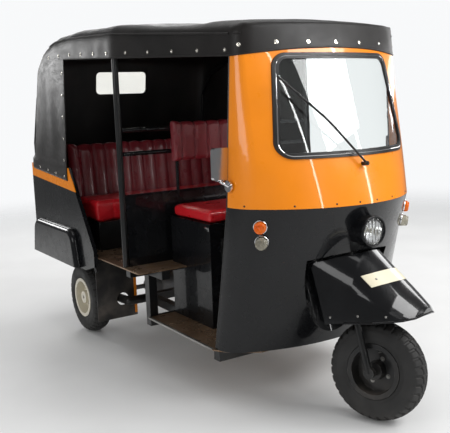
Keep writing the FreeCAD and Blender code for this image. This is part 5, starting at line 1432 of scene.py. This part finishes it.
@dataclass
class FrontEnd:
    """The fork, the handlebar and the fender over the front wheel.

    The fork's own frame has its origin at the wheel's centre. Its axes are the vehicle's,
    turned about the raked steering axis as far as the wheel stands turned when parked.
    """

    pivot: Vector = field(default_factory=lambda: Vector((0.0, -1.104, 0.206887)))
    axle: Vector = field(default_factory=lambda: Vector((0.927184, 0.352014, -0.128122)))
    rake: float = 20.0
    turn: float = 22.0
    rows: Spots = (
        (0.192, 0.050, 0.268), (0.178, 0.100, 0.258), (0.142, 0.142, 0.247), (0.100, 0.162, 0.238),
        (0.030, 0.169, 0.222), (-0.064, 0.170, 0.206), (-0.092, 0.170, 0.1998))
    lip_radius: float = 0.0042
    rivet_places: Profile = ((0.085, 0.256), (-0.03, 0.240), (-0.15, 0.215))
    rivet: tuple[float, float] = (0.0052, 0.003)
    plate_ends: tuple[float, float] = (0.095, 0.135)
    plate_screw: tuple[float, float] = (0.005, 0.0026)
    clamp: Profile = ((0.0125, -0.024), (0.0185, -0.023), (0.0185, -0.007), (0.0125, -0.006))
    knob: Profile = ((0.003, -0.008), (0.0068, -0.004), (0.0075, 0.001), (0.0055, 0.0062), (0.002, 0.008))
    lever: Spots = (
        (0.014, 0.0, 0.0), (0.03, 0.004, 0.0), (0.04, 0.03, 0.0), (0.042, 0.0, 0.55), (0.038, 0.0, 0.86))
    lever_foot: float = 0.015
    lever_radius: float = 0.0048
    lever_bolt: tuple[float, float] = (0.029, 0.004)
    lever_bolt_radius: float = 0.0038
    knob_out: float = 0.004
    grip_ribs: int = 9
    grip_first: float = 0.08
    grip_pitch: float = 0.105
    grip_ring: tuple[float, float, float, float] = (0.0172, 0.0, 0.0013, 0.0017)

    def put(self, x: float, y: float, z: float) -> Vector:
        """A place in the fork's own frame, in the vehicle's."""
        axis = Vector((0.0, math.sin(math.radians(self.rake)), math.cos(math.radians(self.rake))))
        return self.pivot + Quaternion(axis, math.radians(self.turn)) @ Vector((x, y, z))

    def levers(self, shop: Workshop) -> None:
        """The hand levers under the grips, with their clamps, and the grips' ribs."""
        spots = [vertex.co.copy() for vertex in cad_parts["handlebar_grips"].data.vertices]
        metal, soft = Stock(), Stock()
        for sign in (-1, 1):
            side = sorted((spot for spot in spots if (spot.x + 0.02) * sign > 0),
                          key=lambda spot: spot.x * sign)
            share = max(4, len(side) // 8)
            inner = sum(side[:share], Vector()) / share
            outer = sum(side[-share:], Vector()) / share
            way = (outer - inner).normalized()
            ahead = way.cross(UP).normalized()
            down = ((ahead if ahead.y < 0 else -ahead) * 0.3 - UP).normalized()
            across = way.cross(down).normalized()
            length = (outer - inner).length
            base = inner - way * self.lever_foot
            metal.take(turned(self.clamp, inner, way, 24))
            path = [base + down * drop + way * along + way * length * part for drop, along, part in self.lever]
            metal.bar(path, self.lever_radius, 10)
            drop, _, part = self.lever[-1]
            end = base + down * drop + way * (length * part + self.knob_out)
            metal.take(turned(self.knob, end, way, 16))
            drop, proud = self.lever_bolt
            metal.bolt(base + down * drop + across * proud, across, self.lever_bolt_radius)
            for number in range(self.grip_ribs):
                spot = inner + way * length * (self.grip_first + self.grip_pitch * number)
                soft.take(turned(beading(*self.grip_ring), spot, way, 28, False))
        shop.fit(metal.piece("hand_levers"), "steering", CHROME)
        shop.fit(soft.piece("grip_ribs"), "steering", RUBBER)

    def fender(self, shop: Workshop) -> None:
        """The fender's rolled lip and its rivets."""
        path = [self.put(-half, -ahead, low) for ahead, half, low in reversed(self.rows)]
        path += [self.put(half, -ahead, low) for ahead, half, low in self.rows]
        lip, rivets = Stock(), Stock()
        lip.bar(path, self.lip_radius, 10)
        skin = skin_of("front_fender")
        for sign in (-1, 1):
            out = (self.put(sign, 0, 0) - self.pivot).normalized()
            for ahead, low in self.rivet_places:
                rivets.screw(skin, self.put(sign * 0.4, -ahead, low), -out, self.rivet, reach=0.4)
        shop.fit(lip.piece("fender_lip"), "steering", BLACK_PAINT)
        shop.fit(rivets.piece("fender_rivets"), "steering", ZINC)

    def plate(self, shop: Workshop) -> None:
        """The screws at the ends of the blank plate."""
        skin = skin_of("front_plate")
        screws = Stock()
        above = (self.put(0, 0, 1) - self.pivot).normalized()
        aside = (self.put(1, 0, 0) - self.pivot).normalized()
        spots = [vertex.co.copy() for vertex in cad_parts["front_plate"].data.vertices]
        inner, outer = self.plate_ends
        for sign in (-1, 1):
            near = [spot for spot in spots if inner < (spot - self.pivot).dot(aside) * sign < outer]
            middle = sum(near, Vector()) / max(1, len(near))
            way = (above + aside * sign * 0.6).normalized()
            screws.screw(skin, middle + way * 0.1, -way, self.plate_screw, reach=0.2)
        shop.fit(screws.piece("front_plate_screws"), "steering", ZINC)

    def dress(self, shop: Workshop) -> None:
        """Dresses the front end, and fits its levers, lip, rivets and screws."""
        shop.dress(FENDER_PAINT, "front_fender")
        shop.dress(FRAME_PAINT, "steering_fork", "steering_head")
        shop.dress(CHROME, "handlebar")
        shop.dress(RUBBER, "handlebar_grips")
        shop.dress(PLATE_PAINT, "front_plate")
        self.fender(shop)
        self.levers(shop)
        self.plate(shop)


@dataclass
class RearBody:
    """The body behind the driver, with its panels, lid, lamps and bumper."""

    bead_x: float = -0.607
    bead_radius: float = 0.0085
    bead_line: Profile = ((0.655, 0.983), (0.640, 0.975), (0.628, 0.950), (0.36, 0.445))
    handle_z: float = 0.625
    handle_radius: float = 0.0055
    handle_half: Profile = ((0.05, 1.294), (0.05, 1.304), (0.0485, 1.3085), (0.045, 1.3115), (0.04, 1.313))
    handle_base: Profile = ((0.012, 0.0), (0.012, 0.002), (0.0065, 0.0042), (0.005, 0.005))
    lock: Profile = ((0.012, -0.004), (0.012, 0.003), (0.0075, 0.005), (0.003, 0.0052))
    lock_place: tuple[float, float, float] = (0.0, 1.2952, 0.665)
    plate_screw: tuple[float, float, float] = (0.075, 1.2972, 0.53)
    lamp_x: float = 0.48
    lamp_screws: tuple[float, ...] = (0.655, 0.775)

    def handle(self, shop: Workshop) -> None:
        """The boot lid's handle and lock."""
        skin = skin_of("boot_lid")
        stock = Stock()
        reach = self.handle_half[0][0]
        for sign in (-1, 1):
            found = touch(skin, Vector((sign * reach, 1.6, self.handle_z)), -BACK)
            if found:
                stock.take(turned(self.handle_base, found[0], BACK, 20))
        path = [Vector((-x, y, self.handle_z)) for x, y in self.handle_half]
        path += [Vector((x, y, self.handle_z)) for x, y in reversed(self.handle_half)]
        stock.bar(path, self.handle_radius, 14)
        stock.take(turned(self.lock, Vector(self.lock_place), BACK, 20))
        shop.fit(stock.piece("lid_handle"), "boot_lid", CHROME)

    def screws(self, shop: Workshop) -> None:
        """The screws of the blank rear plate and of the tail lamps."""
        skin = skin_of("tail_lamps")
        stock = Stock()
        x, y, z = self.plate_screw
        for sign in (-1, 1):
            stock.dome(Vector((sign * x, y, z)), BACK, 0.005, 0.003)
        for sign in (-1, 1):
            for height in self.lamp_screws:
                stock.screw(skin, Vector((sign * self.lamp_x, 1.6, height)), -BACK, (0.004, 0.002))
        shop.fit(stock.piece("rear_screws"), "body", ZINC)

    def dress(self, shop: Workshop) -> None:
        """Dresses the rear body, and fits its beading, handle, lock and screws."""
        shop.dress(BANDED_PAINT, "quarter_panels", "left_side_panel", "rear_panel")
        shop.dress(BLACK_PAINT, "boot_lid", "rear_fenders")
        shop.dress(FRAME_PAINT, "rear_bumper")
        shop.dress(RED_LENS, "tail_lamps")
        shop.dress(PLATE_PAINT, "rear_plate")
        bead = Stock()
        bead.bar([Vector((self.bead_x, y, z)) for y, z in self.bead_line], self.bead_radius, 12)
        shop.fit(bead.piece("panel_beading"), "body", RUBBER)
        self.handle(shop)
        self.screws(shop)


@dataclass
class Cabin:
    """The inside: floors, posts, partition, seat bases and seats."""

    seats: tuple[Seat, ...] = field(default_factory=lambda: (
        Seat("passenger_backrest", MAROON_HIDE, "seat_maroon", voxel=0.009, pitch=0.083, depth=0.014),
        # The cushions take the brighter hide, which paints sunlight onto their tops.
        Seat("passenger_cushion", PAINTED_SUNLIT_HIDE, "seat_red", voxel=0.009, pitch=0.166, depth=0.008),
        Seat("driver_cushion", PAINTED_SUNLIT_HIDE, "seat_red", depth=0.0, cap=0.01),
        Seat("driver_backrest", MAROON_HIDE, "seat_maroon", voxel=0.006, pitch=0.074, depth=0.012, cap=0.009)))
    edging_ends: tuple[float, float] = (-0.585, 0.018)
    edging_out: float = 0.4862
    screw_pitch: float = 0.13
    pedal_x: float = -0.215
    pedal_stem: Profile = ((-0.572, 0.263), (-0.578, 0.30), (-0.548, 0.335), (-0.512, 0.348))
    pedal_ribs: int = 5
    rib_pitch: float = 0.013

    def latch(self, shop: Workshop) -> None:
        """The latch on the seat box's corner."""
        stock = Stock()
        stock.slab((-0.3385, -0.352, 0.728), (-0.3325, -0.318, 0.748), 0.0012)
        stock.bar([Vector((-0.3395, -0.350, 0.742)), Vector((-0.346, -0.342, 0.746)),
                   Vector((-0.346, -0.328, 0.746)), Vector((-0.3395, -0.320, 0.742))], 0.0026, 8)
        shop.fit(stock.piece("seat_box_latch"), "body", CHROME)

    def edging(self, shop: Workshop) -> None:
        """The bright edging with its screws along the driver's floor."""
        stock = Stock()
        first, last = self.edging_ends
        for sign in (-1, 1):
            out = sign * self.edging_out
            stock.slab((sign * 0.4843, first, 0.2495), (out, last, 0.2595), 0.0006)
            stock.slab((sign * 0.474, first, 0.2583), (out, last, 0.2597), 0.0004)
            for number in range(5):
                place = Vector((sign * 0.479, -0.55 + self.screw_pitch * number, 0.2595))
                stock.dome(place, UP, 0.0032, 0.0016, 12)
        shop.fit(stock.piece("floor_edging"), "body", ZINC)

    def pedal(self, shop: Workshop) -> None:
        """The foot pedal with its ribbed pad, stem and bracket."""
        stock = Stock()
        stock.slab((-0.24, -0.60, 0.2583), (-0.19, -0.545, 0.2623), 0.0008)
        stock.bar([Vector((self.pedal_x, y, z)) for y, z in self.pedal_stem], 0.0065, 10)
        stock.slab((-0.245, -0.53, 0.345), (-0.185, -0.462, 0.355), 0.002)
        for number in range(self.pedal_ribs):
            along = self.rib_pitch * number
            stock.slab((-0.243, -0.526 + along, 0.3545), (-0.187, -0.521 + along, 0.3575), 0.0008)
        for x in (-0.235, -0.195):
            stock.bolt(Vector((x, -0.556, 0.2623)), UP, 0.0036)
        shop.fit(stock.piece("foot_pedal"), "body", FRAME_PAINT)

    def dress(self, shop: Workshop) -> None:
        """Dresses the inside, and fits the seats, the latch, the edging and the pedal."""
        shop.dress(FLOOR_METAL, "driver_floor", "passenger_floor")
        shop.dress(BLACK_PAINT, "driver_seat_box", "partition")
        shop.dress(FRAME_PAINT, "side_posts", "hood_rails", "hood_bows", "passenger_seat_base", "engine_door")
        for seat in self.seats:
            seat.dress(shop)
        self.latch(shop)
        self.edging(shop)
        self.pedal(shop)


@dataclass
class Underbody:
    """What carries the vehicle and drives it."""

    shock_x: float = 0.384
    shock_y: float = 0.781
    low: float = 0.232
    high: float = 0.474
    cup: Profile = ((0.02, -0.003), (0.0285, -0.003), (0.0285, 0.003), (0.02, 0.003))
    cup_inset: float = 0.03
    coil_radius: float = 0.0235
    coil_inset: float = 0.036
    wire_radius: float = 0.0042
    coil_turns: int = 7
    coil_parts: int = 20
    fins: int = 11
    fin_pitch: float = 0.017
    fin_foot: float = 0.335
    fin_thick: float = 0.0035

    def springs(self) -> Stock:
        """The coil springs and dampers at the rear wheels."""
        length = self.high - self.low
        damper = [(0.012, 0.0), (0.016, 0.004), (0.016, 0.05), (0.0145, 0.052), (0.0145, 0.12), (0.007, 0.122),
                  (0.007, length - 0.05), (0.019, length - 0.048), (0.019, length)]
        total = self.coil_turns * self.coil_parts
        rise = length - 2 * self.coil_inset
        stock = Stock()
        for sign in (-1, 1):
            foot = Vector((sign * self.shock_x, self.shock_y, self.low))
            stock.take(turned(damper, foot, UP, 24))
            for along in (self.cup_inset, length - self.cup_inset):
                stock.take(turned(self.cup, foot + UP * along, UP, 28))
            coil = []
            for step in range(total + 1):
                angle = 2 * math.pi * step / self.coil_parts
                x, y = self.coil_radius * math.cos(angle), self.coil_radius * math.sin(angle)
                coil.append(foot + Vector((x, y, self.coil_inset + rise * step / total)))
            stock.bar(coil, self.wire_radius, 8)
        return stock

    def dress(self, shop: Workshop) -> None:
        """Dresses the underbody, and fits the springs, the fins and the splash panels' edging."""
        shop.dress(FRAME_PAINT, "chassis_frame", "rear_arms")
        shop.dress(CAST_METAL, "engine_block", "final_drive")
        shop.dress(MUD_RUBBER, "splash_panels")
        shop.fit(self.springs().piece("rear_springs"), "body", FRAME_PAINT, ("shock_absorbers",))
        fins, edging = Stock(), Stock()
        for number in range(self.fins):
            z = self.fin_foot + self.fin_pitch * number
            fins.slab((-0.159, -0.259, z), (0.159, -0.001, z + self.fin_thick), 0.001)
        shop.fit(fins.piece("engine_fins"), "body", CAST_METAL)
        for sign in (-1, 1):
            edging.slab((sign * 0.296, 0.5365, 0.13), (sign * 0.312, 0.5398, 0.5), 0.001)
        shop.fit(edging.piece("splash_edging"), "body", ORANGE_PAINT)


@dataclass(frozen=True)
class Lamp:
    """A soft rectangular light, its size in metres and its power in watts."""

    name: str
    place: tuple[float, float, float]
    target: tuple[float, float, float]
    size: tuple[float, float]
    power: float

    def build(self) -> None:
        """Puts the light in its place."""
        data = bpy.data.lights.new(self.name, "AREA")
        data.shape = "RECTANGLE"
        data.size, data.size_y = self.size
        data.energy = self.power
        made = bpy.data.objects.new(self.name, data)
        made.location = self.place
        made.rotation_mode = "QUATERNION"
        made.rotation_quaternion = (Vector(self.target) - Vector(self.place)).to_track_quat("-Z", "Y")
        made.visible_camera = False
        bpy.context.scene.collection.objects.link(made)


@dataclass
class Studio:
    """The plain floor, the light and the camera."""

    eye: Vector = field(default_factory=lambda: Vector((-2.0648, -3.1810, 1.3322)))
    yaw: float = -32.83
    pitch: float = 9.21
    roll: float = -1.96
    lens: float = 58.07
    shift: tuple[float, float] = (-0.00164, 0.00133)
    floor_radius: float = 18.0
    floor_depth: float = 0.0005
    floor_parts: int = 96
    floor_fade: tuple[float, float] = (2.6, 7.5)
    backdrop: tuple[float, float, float, float] = (0.94, 0.95, 0.96, 1.0)
    ambient: float = 0.5
    mirrored: float = 0.16
    lamps: tuple[Lamp, ...] = (
        Lamp("key", (1.6, -3.4, 3.4), (0.0, -0.6, 0.8), (2.6, 1.8), 120.0),
        Lamp("overhead", (0.2, 0.6, 4.2), (0.0, 0.3, 1.0), (3.0, 4.0), 60.0),
        Lamp("near_side", (-4.2, -1.0, 2.2), (0.0, 0.0, 0.9), (2.0, 1.6), 30.0),
        Lamp("streak", (-0.5, -4.6, 2.4), (0.0, -1.0, 0.9), (0.12, 2.6), 16.0),
        Lamp("streak_right", (2.6, -3.4, 2.2), (0.2, -1.0, 0.9), (0.16, 2.6), 22.0),
        Lamp("rear", (1.5, 4.6, 2.8), (0.0, 1.0, 0.9), (2.6, 1.8), 60.0),
        Lamp("near_strip", (-1.5, 4.4, 2.0), (-0.6, 0.9, 0.7), (0.9, 0.9), 26.0),
        Lamp("far_side", (4.4, 0.8, 2.4), (0.0, 0.2, 0.9), (2.4, 1.6), 45.0))

    def floor(self) -> None:
        """A round pale floor that fades out with distance, and that can't be seen from below."""
        mesh = bpy.data.meshes.new("floor")
        angles = [2 * math.pi * i / self.floor_parts for i in range(self.floor_parts)]
        points = [(self.floor_radius * math.cos(a), self.floor_radius * math.sin(a), -self.floor_depth)
                  for a in angles]
        mesh.from_pydata(points, [], [tuple(range(self.floor_parts))])
        made = bpy.data.objects.new("floor", mesh)
        bpy.context.scene.collection.objects.link(made)
        material, wiring, shader = started("pale_floor")
        cloud = wiring.span(wiring.cloud(wiring.place(), scale=1.5, detail=4.0), low=0.3, high=0.7)
        tint = wiring.blend(cloud, (0.72, 0.72, 0.715, 1.0), (0.76, 0.76, 0.755, 1.0))
        wiring.tree.links.new(tint, shader.inputs["Base Color"])
        reach = wiring.add("ShaderNodeVectorMath", {0: wiring.place()}, operation="LENGTH").outputs["Value"]
        below = wiring.add("ShaderNodeNewGeometry").outputs["Backfacing"]
        near = wiring.span(reach, *self.floor_fade, 1.0, 0.0)
        shown = wiring.calc("MULTIPLY", near, wiring.calc("SUBTRACT", 1.0, below))
        wiring.tree.links.new(shown, shader.inputs["Alpha"])
        shader.inputs["Roughness"].default_value = 0.55
        mesh.materials.append(material)

    def light(self) -> None:
        """A soft world, one large key, and narrow lights for the streaks on the paint."""
        world = bpy.data.worlds.new("studio")
        bpy.context.scene.world = world
        world.use_nodes = True
        wiring = Wiring(world.node_tree)
        sky = world.node_tree.nodes["Background"]
        path = wiring.add("ShaderNodeLightPath")
        seen = wiring.calc("MAXIMUM", path.outputs["Is Camera Ray"], path.outputs["Is Transmission Ray"])
        dull = wiring.calc("SUBTRACT", 1.0, path.outputs["Is Glossy Ray"])
        plain = wiring.calc("MULTIPLY", dull, self.ambient)
        strength = wiring.calc("MAXIMUM", wiring.calc("MAXIMUM", seen, plain), self.mirrored)
        sky.inputs["Color"].default_value = self.backdrop
        wiring.tree.links.new(strength, sky.inputs["Strength"])
        for lamp in self.lamps:
            lamp.build()

    def camera(self) -> None:
        """The camera at the photograph's place."""
        data = bpy.data.cameras.new("camera")
        data.lens = self.lens
        data.sensor_width = 36.0
        data.shift_x, data.shift_y = self.shift
        made = bpy.data.objects.new("camera", data)
        yaw, pitch, roll = math.radians(self.yaw), math.radians(self.pitch), math.radians(self.roll)
        back = Vector((math.sin(yaw) * math.cos(pitch), -math.cos(yaw) * math.cos(pitch), math.sin(pitch)))
        right = (-back).cross(UP).normalized()
        up = right.cross(-back)
        across = right * math.cos(roll) + up * math.sin(roll)
        above = up * math.cos(roll) - right * math.sin(roll)
        rows = [(across[i], above[i], back[i], self.eye[i]) for i in range(3)]
        made.matrix_world = Matrix((*rows, (0.0, 0.0, 0.0, 1.0)))
        bpy.context.scene.collection.objects.link(made)
        bpy.context.scene.camera = made

    def build(self) -> None:
        """Sets the whole studio."""
        bpy.context.scene.view_settings.view_transform = "Standard"
        self.floor()
        self.light()
        self.camera()


def main() -> None:
    """Builds every sub-assembly, and then the studio."""
    logging.basicConfig(level=logging.INFO, format="%(message)s")
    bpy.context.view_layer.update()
    shop = Workshop()
    front = FrontEnd()
    left_hub, right_hub = Vector((0.48, 0.781, 0.208)), Vector((-0.48, 0.781, 0.208))
    wheels = [
        ("front_wheel", "front_tyre", front.pivot, -front.axle, FRAME_PAINT),
        ("rear_wheel_left", "rear_tyre_left", left_hub, LEFT, CREAM_PAINT),
        ("rear_wheel_right", "rear_tyre_right", right_hub, -LEFT, CREAM_PAINT)]
    parts: list[SubAssembly] = [Nose(), front, RearBody(), Cabin(), Underbody(), Canopy()]
    for wheel, tyre, centre, axis, finish in wheels:
        parts.append(Tyre("%s_tread" % tyre, tyre, wheel, centre, axis))
        parts.append(WheelTrim(wheel, wheel, centre, axis, finish))
    for part in parts:
        part.dress(shop)
    Studio().build()


if __name__ == "__main__":
    main()
